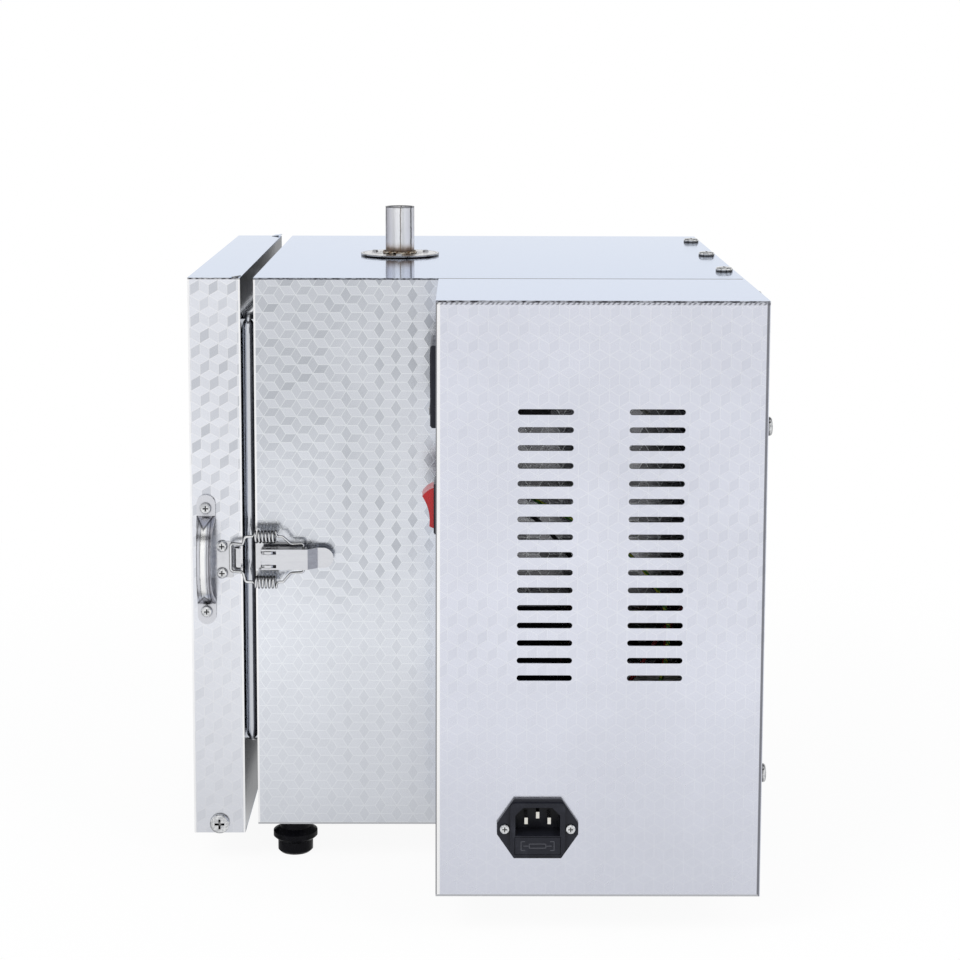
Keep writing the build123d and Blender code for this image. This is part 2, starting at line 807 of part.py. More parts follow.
def make_wires():
    """Insulated wires of the control box and the rear space, each on its own route."""
    switch_back = box_front + switch_body + fit_gap
    live_x, neutral_x = inlet_x + pin_spacing / 2, inlet_x - pin_spacing / 2
    earth_z = socket_z + earth_rise
    inlet_out = inlet_rear + 14
    earth = lead("earth wire", [
        (box_front + 40, -fit_gap, 240), (box_front + 40, -22, 240), (178, -52, 233), (205, -60, 220),
        (245, -62, 197), (267, -64, 163), (263, -72, 118), (232, -84, 82), (202, -87, 66),
        (inlet_x, inlet_out + 2, earth_z), (inlet_x, inlet_rear, earth_z),
    ], wire_radius)
    live = lead("live wire", [
        (live_x, inlet_rear, socket_z), (live_x, inlet_out, socket_z), (206, -74, 70), (244, -60, 118),
        (262, -54, 146), (279, -38, 160), (274, -20, 148), (268, -12, 128), (268, -12, terminal_top),
    ], wire_radius)
    neutral = lead("neutral wire", [
        (neutral_x, inlet_rear, socket_z), (neutral_x, inlet_out, socket_z), (170, -72, 72),
        (165, -62, 125), (162, -58, 180), (159, -59, 214), (154, -60, switch_z - 6),
        (switch_back, -60, switch_z - 6),
    ], wire_radius)
    feed = lead("switch wire", [
        (switch_back, -68, switch_z + 5), (switch_back + 14, -68, switch_z + 5), (182, -60, 222),
        (206, -46, 192), (226, -26, 156), (234, -12, 128), (234, -12, terminal_top),
    ], wire_radius)
    heater = []
    for number, (y, offset) in enumerate(zip(rod_y, (1.7, -1.7))):
        z = lead_hole_height + offset
        x = 268 - number * 12
        heater.append(lead("heater lead " + str(number + 1), [
            (x, -10, terminal_place[1] - fit_gap), (x, -10, 72 - number * 6), (service_x - 16, -16, z + 1),
            (service_x, -13, z), (service_x, 16, z + offset), (rod_x + 8, y - 40, rod_low - 26),
            (rod_x, y - 16, rod_low), (rod_x, y - rod_touch, rod_low),
        ], wire_radius))
    near, far = rod_y[0] + rod_touch, rod_y[1] - rod_touch
    heater.append(lead("heater bridge", [
        (rod_x, near, rod_high), (rod_x, near + 15, rod_high), (rod_x + 4, near + 48, rod_high + 16),
        (rod_x + 4, far - 48, rod_high + 16), (rod_x, far - 15, rod_high), (rod_x, far, rod_high),
    ], wire_radius))
    head_x = blanket_back + probe_head_length / 2
    case_back = box_front + case_depth + fit_gap
    probe = lead("thermocouple lead", [
        (head_x, middle_y - probe_head_radius - fit_gap, probe_z), (head_x, 128, probe_z),
        (head_x + 5, 70, probe_z + 7), (service_x, 18, probe_hole_height), (service_x, -15, probe_hole_height),
        (service_x - 16, -44, 262), (240, -60, 296), (case_back + 18, -62, controller_z - 4),
        (case_back, -62, controller_z - 4),
    ], wire_radius * 0.8)
    return earth, live, [neutral, feed] + heater, probe


# Door
door_low = -door_drop
door_screw_z = door_low + door_screw_from_bottom


def hinge_centres():
    """Heights of the two hinges."""
    return (hinge_from_end, body_height - hinge_from_end)


def hinge_screw_places(side):
    """Screws of both hinges on one side: 1 for the furnace, -1 for the door."""
    x = hinge_x + side * (hinge_barrel / 2 + hinge_leaf_width * 0.5)
    pitch = hinge_screw_pitch / 2
    return [(x, body_width, z + step) for z in hinge_centres() for step in (-pitch, pitch)]


def handle_screw_places():
    """The handle's two screws, on the door's side."""
    x = door_back - handle_from_back
    return [(x, 0, keeper_z + side * handle_screw_pitch / 2) for side in (-1, 1)]


def keeper_screw_places():
    """The latch keeper's two screws, on the door's side."""
    x = door_back - keeper_back - keeper_length + keeper_screw_from_front
    return [(x, 0, keeper_z + side * keeper_screw_pitch / 2) for side in (-1, 1)]


def door_side_places():
    """The large screws low on both sides of the door."""
    x = door_back - door_screw_from_back
    return [((x, 0, door_screw_z), RIGHT), ((x, body_width, door_screw_z), LEFT)]


def drill_door(shape):
    """Cut every screw hole of the door's sides."""
    for place, way in door_side_places():
        shape -= screw_holes(large_screw, [place], way)[0]
    for place in handle_screw_places() + keeper_screw_places():
        shape -= screw_holes(small_screw, [place], RIGHT)[0]
    for place in hinge_screw_places(-1):
        shape -= screw_holes(small_screw, [place], LEFT)[0]
    return shape


def liner_block(extra, front, back):
    """The raised middle of the door's back, drawn in by an extra amount."""
    side, foot, top = liner_side + extra, liner_foot + extra, body_height - liner_top - extra
    return block(front, back, side, body_width - side, foot, top)


def liner_bead(thick):
    """Round bead, thick in radius, that runs round the raised middle of the door's back."""
    width = body_width - 2 * (liner_side + thick)
    height = body_height - liner_top - liner_foot - 2 * thick
    centre = (door_back + thick, middle_y, liner_foot + thick + height / 2)
    ring = Plane(origin=centre, x_dir=LEFT, z_dir=BACK) * RectangleRounded(width, height, liner_corner)
    path = ring.face().outer_wire()
    return sweep(Plane(origin=path @ 0, z_dir=path % 0) * Circle(thick), path=path)


def plug_block(front, back):
    """The insulating plug that enters the chamber mouth."""
    half_y = chamber_width / 2 - plug_clearance
    half_z = chamber_height / 2 - plug_clearance
    return block(front, back, middle_y - half_y, middle_y + half_y, middle_z - half_z, middle_z + half_z)


def make_door():
    """Folded outer shell, back liner with its raised frame, insulation with plug, and side screws."""
    shell = block(door_front, door_back, 0, body_width, door_low, body_height)
    shell -= block(door_front + sheet, door_back + 1, sheet, body_width - sheet, door_low + sheet,
                   body_height - sheet)
    raised = -fit_gap
    liner = block(door_back - sheet, door_back, sheet, body_width - sheet, door_low + sheet,
                  body_height - sheet)
    bead = (raised - door_back) / 2
    liner += liner_block(bead, door_back, raised)
    liner += liner_bead(bead)
    liner -= liner_block(bead * 2, door_back - sheet, raised - sheet)
    liner -= plug_block(door_back - sheet * 2, raised + 1)
    filling = block(door_front + sheet, door_back - sheet, sheet, body_width - sheet, door_low + sheet,
                    body_height - sheet)
    filling += liner_block(bead * 2, door_back - sheet, raised - sheet)
    filling += plug_block(door_back, plug_depth)
    screws = [screw(large_screw, place, way) for place, way in door_side_places()]
    return drill_door(shell), liner, drill_door(filling), screws


def make_handle():
    """Pressed bow handle on the door's right side."""
    x = door_back - handle_from_back
    half = handle_length / 2
    mid = handle_strap / 2
    foot = half - handle_foot
    high = handle_rise - mid
    grip = foot - handle_slope
    points = [(-half, mid), (-foot, mid), (-grip, high), (grip, high), (foot, mid), (half, mid)]
    bends = [handle_foot_bend, handle_grip_bend, handle_grip_bend, handle_foot_bend]
    edges, _ = rounded_edges([(x, -rise, keeper_z + along) for along, rise in points], bends)
    path = Wire(edges)
    wide = handle_width / 2
    front = ThreePointArc((wide, handle_crown - mid), (0, -mid), (-wide, handle_crown - mid))
    sides = Polyline((-wide, handle_crown - mid), (-wide, mid), (wide, mid), (wide, handle_crown - mid))
    section = Plane(origin=path @ 0, x_dir=BACK, z_dir=UP) * make_face([*sides.edges(), *front.edges()])
    strap = sweep(section, path=path)
    ends = Plane(origin=(x, 0, keeper_z), x_dir=UP, z_dir=RIGHT) * SlotOverall(handle_length, handle_width)
    strap &= extrude(ends, handle_rise + 1)
    taper = Polyline((-handle_width / 2, 0), (handle_width / 2, 0), (handle_width / 2, handle_strap),
                     (handle_grip_width / 2, handle_rise), (-handle_grip_width / 2, handle_rise),
                     (-handle_width / 2, handle_strap), (-handle_width / 2, 0))
    side = Plane(origin=(x, 0, keeper_z), x_dir=FRONT, z_dir=UP)
    strap &= extrude(side * make_face(taper), half + 1, both=True)
    for place in handle_screw_places():
        strap -= hole(place, RIGHT, small_screw[2] / 2 + pin_gap, handle_strap * 4)
    return strap


def make_keeper():
    """Latch keeper: a plate screwed to the door, its rear edge curled forward into a lip."""
    rear = door_back - keeper_back
    front = rear - keeper_length
    lip_front = rear - keeper_lip_length
    half, lip_half = keeper_width / 2, keeper_lip_width / 2
    keeper = block(front, lip_front, -keeper_sheet, 0, keeper_z - half, keeper_z + half)
    corners = keeper.edges().filter_by(Axis.Y).group_by(Axis.X)[0]
    keeper = fillet(corners, keeper_width / 6)
    top, low = -keeper_lip_height, -keeper_lip_front
    outline = Polyline(
        (lip_front, 0), (lip_front, low), (rear, top), (rear, 0), (rear - keeper_sheet, 0),
        (rear - keeper_sheet, top + keeper_sheet), (lip_front + keeper_sheet, low + keeper_sheet),
        (lip_front + keeper_sheet, 0), (lip_front, 0),
    )
    side = Plane(origin=(0, 0, keeper_z), x_dir=BACK, z_dir=UP)
    keeper += extrude(side * make_face(outline), lip_half, both=True)
    for place in keeper_screw_places():
        keeper -= hole(place, RIGHT, small_screw[2] / 2 + pin_gap, keeper_sheet * 4)
    return keeper


# Door hinges
def make_hinges():
    """Two butt hinges on the left side: furnace leaves, door leaves, pins and both sets of screws."""
    leaves = {1: [], -1: []}
    pins = []
    knuckle = hinge_length / hinge_knuckles
    reach = hinge_barrel / 2
    for centre in hinge_centres():
        low = centre - hinge_length / 2
        for side in (1, -1):
            near = hinge_x + side * (reach + fit_gap)
            far = hinge_x + side * (reach + hinge_leaf_width)
            leaf = block(min(near, far), max(near, far), body_width, body_width + hinge_leaf, low,
                         low + hinge_length)
            for number in range(hinge_knuckles):
                if (number % 2 == 0) != (side == 1):
                    continue
                z0 = low + number * knuckle + fit_gap / 2
                z1 = z0 + knuckle - fit_gap
                leaf += bar((hinge_x, hinge_y, z0), (hinge_x, hinge_y, z1), reach)
                leaf += block(min(hinge_x, near), max(hinge_x, near), body_width,
                              body_width + hinge_leaf, z0, z1)
            leaf -= hole((hinge_x, hinge_y, centre), UP, hinge_pin / 2 + pin_gap, hinge_length * 2)
            for x, y, z in hinge_screw_places(side):
                leaf -= hole((x, y, z), LEFT, small_screw[2] / 2 + pin_gap, hinge_leaf * 4)
            leaves[side].append(leaf)
        pin = bar((hinge_x, hinge_y, low - 2), (hinge_x, hinge_y, low + hinge_length + 2), hinge_pin / 2)
        for z in (low - 2, low + hinge_length + fit_gap):
            pin += bar((hinge_x, hinge_y, z), (hinge_x, hinge_y, z + 2 - fit_gap), hinge_pin * 0.75)
        pins.append(pin)
    screws = {}
    for side in (1, -1):
        seats = [(x, y + hinge_leaf, z) for x, y, z in hinge_screw_places(side)]
        screws[side] = [screw(small_screw, seat, LEFT) for seat in seats]
    return leaves, pins, screws


# Draw latch
pivot_x, pivot_y = lever_pivot_from_front, -lever_pivot_height
link_x, link_y = pivot_x + link_from_pivot, -link_height
coil_start = 0.9
coil_end = coil_start + spring_length
bail_end_x = coil_start - spring_lead
crossbar_x = door_back - keeper_back - keeper_lip_length - bail_wire / 2
crossbar_y = -keeper_lip_height - bail_gap - bail_wire / 2


def latch_span(half, thick, side):
    """Heights of one wall of a channel that is centred on the latch."""
    outer, inner = latch_z + side * half, latch_z + side * (half - thick)
    return min(outer, inner), max(outer, inner)


def make_latch_base():
    """Base plate on the furnace's side with two rounded ears inside the lever, and the lever's pin."""
    half = base_width / 2
    base = block(fit_gap, fit_gap + base_length, -lever_sheet, 0, latch_z - half, latch_z + half)
    ear = lever_width / 2 - lever_sheet - fit_gap
    for side in (-1, 1):
        low, high = latch_span(ear, ear_thick, side)
        base += block(pivot_x - ear_half, pivot_x + ear_half, pivot_y, 0, low, high)
        base += bar((pivot_x, pivot_y, low), (pivot_x, pivot_y, high), ear_half)
    base -= hole((pivot_x, pivot_y, latch_z), UP, lever_pin / 2 + pin_gap, ear * 4)
    reach = (lever_width + lever_sheet) / 2
    pin = bar((pivot_x, pivot_y, latch_z - reach), (pivot_x, pivot_y, latch_z + reach), lever_pin / 2)
    return base, pin


def make_lever():
    """Pressed lever: a channel with a stepped, rounded finger tip."""
    start, end = pivot_x - lever_start, pivot_x + lever_length
    tip = end - lever_tip_length
    bend = tip - lever_bend_length
    top, low = lever_top, lever_top - lever_tip_drop
    slant = lever_sheet * 0.4
    outline = Polyline(
        (start, top), (bend, top), (tip, low), (end, low), (end, low - lever_sheet),
        (tip - slant, low - lever_sheet), (bend - slant, top - lever_sheet), (start, top - lever_sheet),
        (start, top),
    )
    profile = Plane(origin=(0, 0, latch_z), x_dir=BACK, z_dir=DOWN) * make_face(outline)
    lever = extrude(profile, lever_width / 2, both=True)
    half = lever_width / 2
    plan = block(start, end - half, -top - 1, 0, latch_z - half, latch_z + half)
    plan += bar((end - half, -top - 1, latch_z), (end - half, 0, latch_z), half)
    lever &= plan
    for side in (-1, 1):
        low_z, high_z = latch_span(half, lever_sheet, side)
        lever += block(start, pivot_x + lever_flange_end, -top + lever_sheet,
                       -top + lever_sheet + lever_flange_depth, low_z, high_z)
        low_z, high_z = latch_span(half - lever_sheet, ear_thick + fit_gap * 2, side)
        lever -= block(start - 1, pivot_x + ear_half + fit_gap, -top - 1, -top + lever_sheet, low_z, high_z)
    lever -= hole((pivot_x, pivot_y, latch_z), UP, lever_pin / 2 + pin_gap, half * 4)
    lever -= hole((link_x, link_y, latch_z), UP, spring_wire / 2 + pin_gap, half * 4)
    return lever


def make_bail():
    """Wire bail: a cross bar behind the keeper's lip, with a leg to each spring."""
    leg_z = spring_apart / 2
    points = []
    for side in (1, -1):
        corner = [(bail_end_x, -spring_height, latch_z + side * leg_z),
                  (bail_end_x - bail_lead, -spring_height, latch_z + side * leg_z),
                  (bail_end_x - bail_lead - bail_slope, (crossbar_y - spring_height) / 2,
                   latch_z + side * bail_half),
                  (crossbar_x, crossbar_y, latch_z + side * bail_half)]
        points += corner if side == 1 else corner[::-1]
    edges, _ = rounded_edges(points, [bail_bend] * (len(points) - 2))
    bail, _ = tube(edges, bail_wire / 2)
    return bail


def coil_point(angle, centre_z):
    """A point of the spring's helix and the way the wire runs there."""
    rise = spring_length / spring_turns / (2 * math.pi)
    point = Vector(coil_start + rise * angle, -spring_height - spring_radius * math.sin(angle),
                   centre_z + spring_radius * math.cos(angle))
    way = Vector(rise, -spring_radius * math.cos(angle), -spring_radius * math.sin(angle))
    return point, way.normalized()


def make_spring():
    """Upper extension spring: one wire from the bail's leg, through the coil, to the lever."""
    centre_z = latch_z + spring_apart / 2
    axis = Vector(bail_end_x, -spring_height, centre_z)
    edges = []
    point, way = axis, BACK
    for half_turn in range(2 * spring_turns + 1):
        after, after_way = coil_point(half_turn * math.pi, centre_z)
        edges += biarc(point, way, after, after_way)
        point, way = after, after_way
    axis_end = Vector(coil_end + spring_lead, -spring_height, centre_z)
    edges += biarc(point, way, axis_end, BACK)
    leg_z = latch_z + lever_width / 2 + spring_leg_gap + spring_wire / 2
    tail, _ = rounded_edges([
        tuple(axis_end), (coil_end + spring_lead + 2, -spring_height, centre_z),
        (link_x - spring_leg_run, link_y - spring_leg_rise, leg_z), (link_x, link_y, leg_z),
        (link_x, link_y, latch_z + lever_width / 2 - lever_sheet - 1),
    ], [spring_bend, 2 * spring_bend, spring_bend])
    spring, length = tube(edges + tail, spring_wire / 2)
    print("latch spring least gap to itself", round(own_gap(edges, spring_wire), 2))
    return spring


def own_gap(edges, wire):
    """Least clear distance between stretches of a wire that aren't neighbours."""
    path = Wire(edges)
    count = 420
    step = path.length / count
    apart = int(4 * wire / step)
    points = [path @ (number / count) for number in range(count + 1)]
    least = math.inf
    for first in range(count + 1):
        for second in range(first + apart, count + 1):
            least = min(least, (points[first] - points[second]).length)
    return least - wire


# Whole furnace
def build():
    """Every piece of the furnace by its node's name."""
    nodes = {"front_frame": make_front_frame(), "floor_pan": make_floor_pan(), "top_panel": make_top_panel()}
    nodes["right_side_panel"], nodes["left_side_panel"] = make_side_panels()
    nodes["rear_panel"] = make_rear_panel()
    above = [screw(panel_screw, place, UP) for place in rear_screw_places(True)]
    below = [screw(panel_screw, place, DOWN) for place in rear_screw_places(False)]
    nodes["rear_panel_screws"] = above + below
    nodes["muffle_chamber"] = make_muffle()
    nodes["insulation_blanket"] = make_blanket()
    nodes["hearth_plate"] = make_hearth()
    nodes["heating_elements"] = make_heating_elements()
    nodes["thermocouple_sheath"], nodes["thermocouple_head"] = make_thermocouple()
    nodes["chimney_pipe"], nodes["chimney_flange"], nodes["chimney_rivets"] = make_chimney()
    nodes["feet"], nodes["foot_screws"] = make_feet()
    (nodes["control_side_panel"], nodes["control_top_panel"], nodes["control_floor_panel"],
     nodes["control_front_panel"], nodes["control_back_cover"],
     nodes["control_cover_screws"]) = make_control_panels()
    nodes["controller_case"], nodes["controller_window"], keys = make_controller()
    for name, key in zip(("key_set", "key_shift", "key_down", "key_up"), keys):
        nodes[name] = key
    nodes["switch_housing"], nodes["switch_rocker"] = make_switch()
    (nodes["inlet_housing"], nodes["inlet_pins"], nodes["fuse_drawer"], nodes["fuse_link"],
     nodes["inlet_screws"]) = make_inlet()
    nodes["solid_state_relay"], nodes["terminal_block"] = make_control_parts()
    (nodes["earth_wire"], nodes["live_wire"], nodes["black_wires"], nodes["thermocouple_lead"]) = make_wires()
    (nodes["door_shell"], nodes["door_liner"], nodes["door_insulation"],
     nodes["door_side_screws"]) = make_door()
    nodes["door_handle"] = make_handle()
    nodes["latch_keeper"] = make_keeper()
    seats = [(place, handle_strap) for place in handle_screw_places()]
    seats += [(place, keeper_sheet) for place in keeper_screw_places()]
    nodes["door_hardware_screws"] = [screw(small_screw, (x, -under, z), RIGHT) for (x, _, z), under in seats]
    leaves, nodes["hinge_pins"], screws = make_hinges()
    nodes["hinge_leaves_body"], nodes["hinge_leaves_door"] = leaves[1], leaves[-1]
    nodes["hinge_screws_body"], nodes["hinge_screws_door"] = screws[1], screws[-1]
    nodes["latch_base"], nodes["latch_lever_pin"] = make_latch_base()
    nodes["latch_lever"] = make_lever()
    nodes["latch_bail"] = make_bail()
    upper = make_spring()
    nodes["latch_springs"] = [upper, mirror(upper, Plane.XY.offset(latch_z))]
    return nodes


def main():
    """Write each node as a STEP file, with the origin under the furnace's middle."""
    os.makedirs("parts", exist_ok=True)
    home = Location((-origin.X, -origin.Y, -origin.Z))
    for name, shape in build().items():
        pieces = shape if isinstance(shape, list) else [shape]
        solids = [solid for piece in pieces for solid in (home * piece).solids()]
        export_step(Compound(children=solids), "parts/" + name + ".step")
    print("door hinge axis", tuple(round(v, 3) for v in (Vector(hinge_x, hinge_y, middle_z) - origin)))
    print("lever pivot", tuple(round(v, 3) for v in (Vector(pivot_x, pivot_y, latch_z) - origin)))
    print("bail pivot", tuple(round(v, 3) for v in (Vector(link_x, link_y, latch_z) - origin)))
    rocker = Vector(box_front + rocker_pivot_in, box_middle, switch_z) - origin
    print("rocker pivot", tuple(round(v, 3) for v in rocker))


main()
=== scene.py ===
import math
import bpy
from mathutils import Matrix, Vector


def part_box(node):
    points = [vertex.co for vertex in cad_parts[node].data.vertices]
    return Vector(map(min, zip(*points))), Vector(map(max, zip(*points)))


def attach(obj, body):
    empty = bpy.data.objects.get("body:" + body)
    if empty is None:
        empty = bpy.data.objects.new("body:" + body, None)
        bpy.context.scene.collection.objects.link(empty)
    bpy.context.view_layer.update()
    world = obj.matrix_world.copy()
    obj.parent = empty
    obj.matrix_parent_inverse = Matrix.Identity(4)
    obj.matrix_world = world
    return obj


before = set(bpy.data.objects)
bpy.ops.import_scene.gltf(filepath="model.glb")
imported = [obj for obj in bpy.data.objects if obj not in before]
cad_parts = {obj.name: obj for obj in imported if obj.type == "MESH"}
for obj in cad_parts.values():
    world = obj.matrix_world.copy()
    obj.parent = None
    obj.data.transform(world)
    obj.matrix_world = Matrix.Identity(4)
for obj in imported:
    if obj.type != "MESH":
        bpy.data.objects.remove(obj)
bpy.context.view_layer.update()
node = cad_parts


# Camera
# A long lens a little above the bench, square to the side that carries the control box.
# The small shift keeps the furnace where the photograph has it in the frame.
lens = bpy.data.cameras.new("bench_camera")
lens.lens = 82.67
lens.sensor_width = 36.0
lens.shift_y = -0.1689
lens.clip_end = 40.0
camera = bpy.data.objects.new("bench_camera", lens)
bpy.context.scene.collection.objects.link(camera)
yaw = Matrix.Rotation(math.radians(-0.30), 4, "Z")
pitch = Matrix.Rotation(math.radians(90.0 - 7.0), 4, "X")
roll = Matrix.Rotation(math.radians(0.161), 4, "Z")
camera.matrix_world = Matrix.Translation((0.0003, -1.5185, 0.5414)) @ yaw @ pitch @ roll
bpy.context.scene.camera = camera
bpy.context.scene.view_settings.view_transform = "Standard"


# Studio floor and light
# A pale floor and a white surround, with two soft lamps in front and one behind.
# Mirrored in metal, the surround has dark gaps between light panels and the floor is darker at the back, so
# that bright metal shows its curves.
def put(tree, kind, inputs=None, **settings):
    """One shader node with its settings and inputs; an input may be another node's socket."""
    made = tree.nodes.new(kind)
    for name, value in settings.items():
        setattr(made, name, value)
    for name, value in (inputs or {}).items():
        if isinstance(value, bpy.types.NodeSocket):
            tree.links.new(value, made.inputs[name])
        else:
            made.inputs[name].default_value = value
    return made


def calc(tree, operation, first, second=0.0, third=0.0, clamp=False):
    """The result of one sum of two or three numbers."""
    made = put(tree, "ShaderNodeMath", {0: first, 1: second, 2: third}, operation=operation,
               use_clamp=clamp)
    return made.outputs[0]


def ease(tree, value, low, high, out_low=0.0, out_high=1.0):
    """A soft step of value between low and high."""
    made = put(tree, "ShaderNodeMapRange", {0: value, 1: low, 2: high, 3: out_low, 4: out_high},
               interpolation_type="SMOOTHSTEP")
    return made.outputs[0]


def parts_of(tree, vector):
    """The three numbers of a vector."""
    return put(tree, "ShaderNodeSeparateXYZ", {0: vector}).outputs


world = bpy.data.worlds.new("studio")
bpy.context.scene.world = world
world.use_nodes = True
sky = world.node_tree
sky.nodes.clear()
gap_count, gap_turn = 5.0, 1.1
right, back, up = parts_of(sky, put(sky, "ShaderNodeTexCoord").outputs["Generated"])
azimuth = calc(sky, "ARCTAN2", back, right)
gaps = calc(sky, "SINE", calc(sky, "MULTIPLY_ADD", azimuth, gap_count, gap_turn))
gap_band = calc(sky, "MULTIPLY", ease(sky, gaps, 0.80, 0.97), ease(sky, back, 0.75, 0.60))
low_part = ease(sky, up, 0.62, 0.40)
ceiling = ease(sky, up, 0.72, 0.78)
ceiling_end = ease(sky, up, 0.93, 0.88)
dark = calc(sky, "MAXIMUM", calc(sky, "MULTIPLY", gap_band, low_part),
            calc(sky, "MULTIPLY", ceiling, ceiling_end), clamp=True)
behind = calc(sky, "MULTIPLY", ease(sky, back, 0.0, 0.10), ease(sky, up, 0.30, 0.42))
dark = calc(sky, "MAXIMUM", dark, calc(sky, "MULTIPLY", behind, 0.6))
surround = calc(sky, "MULTIPLY_ADD", dark, -0.94, 1.0)
rays = put(sky, "ShaderNodeLightPath")
plain = calc(sky, "MAXIMUM", rays.outputs["Is Camera Ray"], rays.outputs["Is Transmission Ray"])
glossy = calc(sky, "MULTIPLY", rays.outputs["Is Glossy Ray"], surround)
other = calc(sky, "SUBTRACT", 1.0, calc(sky, "MAXIMUM", plain, rays.outputs["Is Glossy Ray"]))
strength = calc(sky, "ADD", calc(sky, "ADD", plain, glossy), calc(sky, "MULTIPLY", other, 0.72))
background = put(sky, "ShaderNodeBackground", {"Color": (1.0, 1.0, 1.0, 1.0), "Strength": strength})
put(sky, "ShaderNodeOutputWorld", {0: background.outputs[0]})

bpy.ops.object.select_all(action="DESELECT")
bpy.ops.mesh.primitive_plane_add(size=16.0, location=(0.0, 0.0, 0.0))
floor = bpy.context.object
floor.name = "studio_floor"
floor_finish = bpy.data.materials.new("studio_floor")
floor_finish.use_nodes = True
tree = floor_finish.node_tree
tree.nodes.clear()
rays = put(tree, "ShaderNodeLightPath")
seen = calc(tree, "MAXIMUM", rays.outputs["Is Camera Ray"],
            calc(tree, "MAXIMUM", rays.outputs["Is Glossy Ray"], rays.outputs["Is Transmission Ray"]))
spot = put(tree, "ShaderNodeTexCoord").outputs["Object"]
away = put(tree, "ShaderNodeVectorMath", {0: spot}, operation="LENGTH").outputs["Value"]
right, back, _ = parts_of(tree, spot)
near_fall = ease(tree, away, 0.25, 0.95, 0.88, 1.0)
far_fall = ease(tree, away, 1.3, 2.4, 1.0, 0.90)
back_fall = ease(tree, back, -0.10, 0.05, 1.0, 0.40)
turned = calc(tree, "ARCTAN2", calc(tree, "ABSOLUTE", right), calc(tree, "MULTIPLY", back, -1.0))
stripe = calc(tree, "MULTIPLY", ease(tree, turned, 0.95, 1.05), ease(tree, turned, 1.40, 1.30))
back_fall = calc(tree, "MULTIPLY", back_fall, calc(tree, "MULTIPLY_ADD", stripe, -0.55, 1.0))
fall = calc(tree, "MULTIPLY", calc(tree, "MULTIPLY", near_fall, far_fall), back_fall)
bright = calc(tree, "MAXIMUM", rays.outputs["Is Camera Ray"], fall)
paper = put(tree, "ShaderNodeBsdfDiffuse", {"Color": (0.86, 0.86, 0.86, 1.0), "Roughness": 0.5})
glow = put(tree, "ShaderNodeEmission", {"Color": (1.0, 1.0, 1.0, 1.0), "Strength": bright})
cover = ease(tree, away, 0.35, 1.0, 0.93, 1.0)
mixed = put(tree, "ShaderNodeMixShader", {0: calc(tree, "MULTIPLY", seen, cover), 1: paper.outputs[0],
                                          2: glow.outputs[0]})
put(tree, "ShaderNodeOutputMaterial", {0: mixed.outputs[0]})
floor.data.materials.append(floor_finish)


def lamp(name, place, target, size, power, tint=(1.0, 1.0, 1.0)):
    """A soft square lamp that points at the target."""
    data = bpy.data.lights.new(name, "AREA")
    data.shape = "SQUARE"
    data.size = size
    data.energy = power
    data.color = tint
    made = bpy.data.objects.new(name, data)
    bpy.context.scene.collection.objects.link(made)
    aim = (Vector(target) - Vector(place)).to_track_quat("-Z", "Y").to_matrix().to_4x4()
    made.matrix_world = Matrix.Translation(place) @ aim
    made.visible_glossy = False


lamp("key_lamp", (-1.5, -2.0, 2.3), (0.0, 0.0, 0.2), 1.4, 34.0)
lamp("side_lamp", (1.9, -1.6, 1.7), (0.0, 0.0, 0.2), 1.4, 20.0)
lamp("back_lamp", (0.3, 2.0, 2.2), (0.0, 0.0, 0.3), 1.6, 16.0, (0.92, 0.96, 1.0))


# Feet
# Four moulded rubber feet with a domed top and a stepped foot, each held by a screw from below.
# The rubber is black and glossy where it is new, with a dull bloom and fine mould marks.
def new_finish(name, colour, metallic=0.0, roughness=0.5, **inputs):
    """A material with one surface shader; gives the material, its tree and the shader."""
    made = bpy.data.materials.new(name)
    made.use_nodes = True
    tree = made.node_tree
    shader = tree.nodes["Principled BSDF"]
    shader.inputs["Base Color"].default_value = (*colour, 1.0)
    shader.inputs["Metallic"].default_value = metallic
    shader.inputs["Roughness"].default_value = roughness
    for key, value in inputs.items():
        shader.inputs[key.replace("_", " ")].default_value = value
    return made, tree, shader


def place_in(tree, stretch=(1.0, 1.0, 1.0), turn=(0.0, 0.0, 0.0)):
    """Object coordinates, stretched and turned."""
    coordinates = put(tree, "ShaderNodeTexCoord")
    made = put(tree, "ShaderNodeMapping", {"Vector": coordinates.outputs["Object"], "Scale": stretch,
                                           "Rotation": turn})
    return made.outputs[0]


def noise(tree, where, scale, detail=4.0, roughness=0.55, distortion=0.0):
    """Cloudy values between 0 and 1."""
    made = put(tree, "ShaderNodeTexNoise", {"Vector": where, "Scale": scale, "Detail": detail,
                                            "Roughness": roughness, "Distortion": distortion})
    return made.outputs[0]


def tint_between(tree, factor, first, second):
    """A colour between two, each a colour or a socket."""
    made = put(tree, "ShaderNodeMix", {0: factor}, data_type="RGBA")
    for slot, value in ((6, first), (7, second)):
        if isinstance(value, bpy.types.NodeSocket):
            tree.links.new(value, made.inputs[slot])
        else:
            made.inputs[slot].default_value = (*value, 1.0)
    return made.outputs[2]


def coat(tree, shader, colour, roughness=None):
    """Gives the surface its colour and roughness."""
    tree.links.new(colour, shader.inputs["Base Color"])
    if roughness is not None:
        tree.links.new(roughness, shader.inputs["Roughness"])


def relief(tree, shader, height, distance, strength=1.0):
    """Small ups and downs of the surface, distance in metres."""
    bump = put(tree, "ShaderNodeBump", {"Height": height, "Distance": distance, "Strength": strength})
    tree.links.new(bump.outputs[0], shader.inputs["Normal"])


def dress(finish, *names):
    """Gives a finish to CAD nodes."""
    for name in names:
        mesh = node[name].data
        mesh.materials.clear()
        mesh.materials.append(finish)


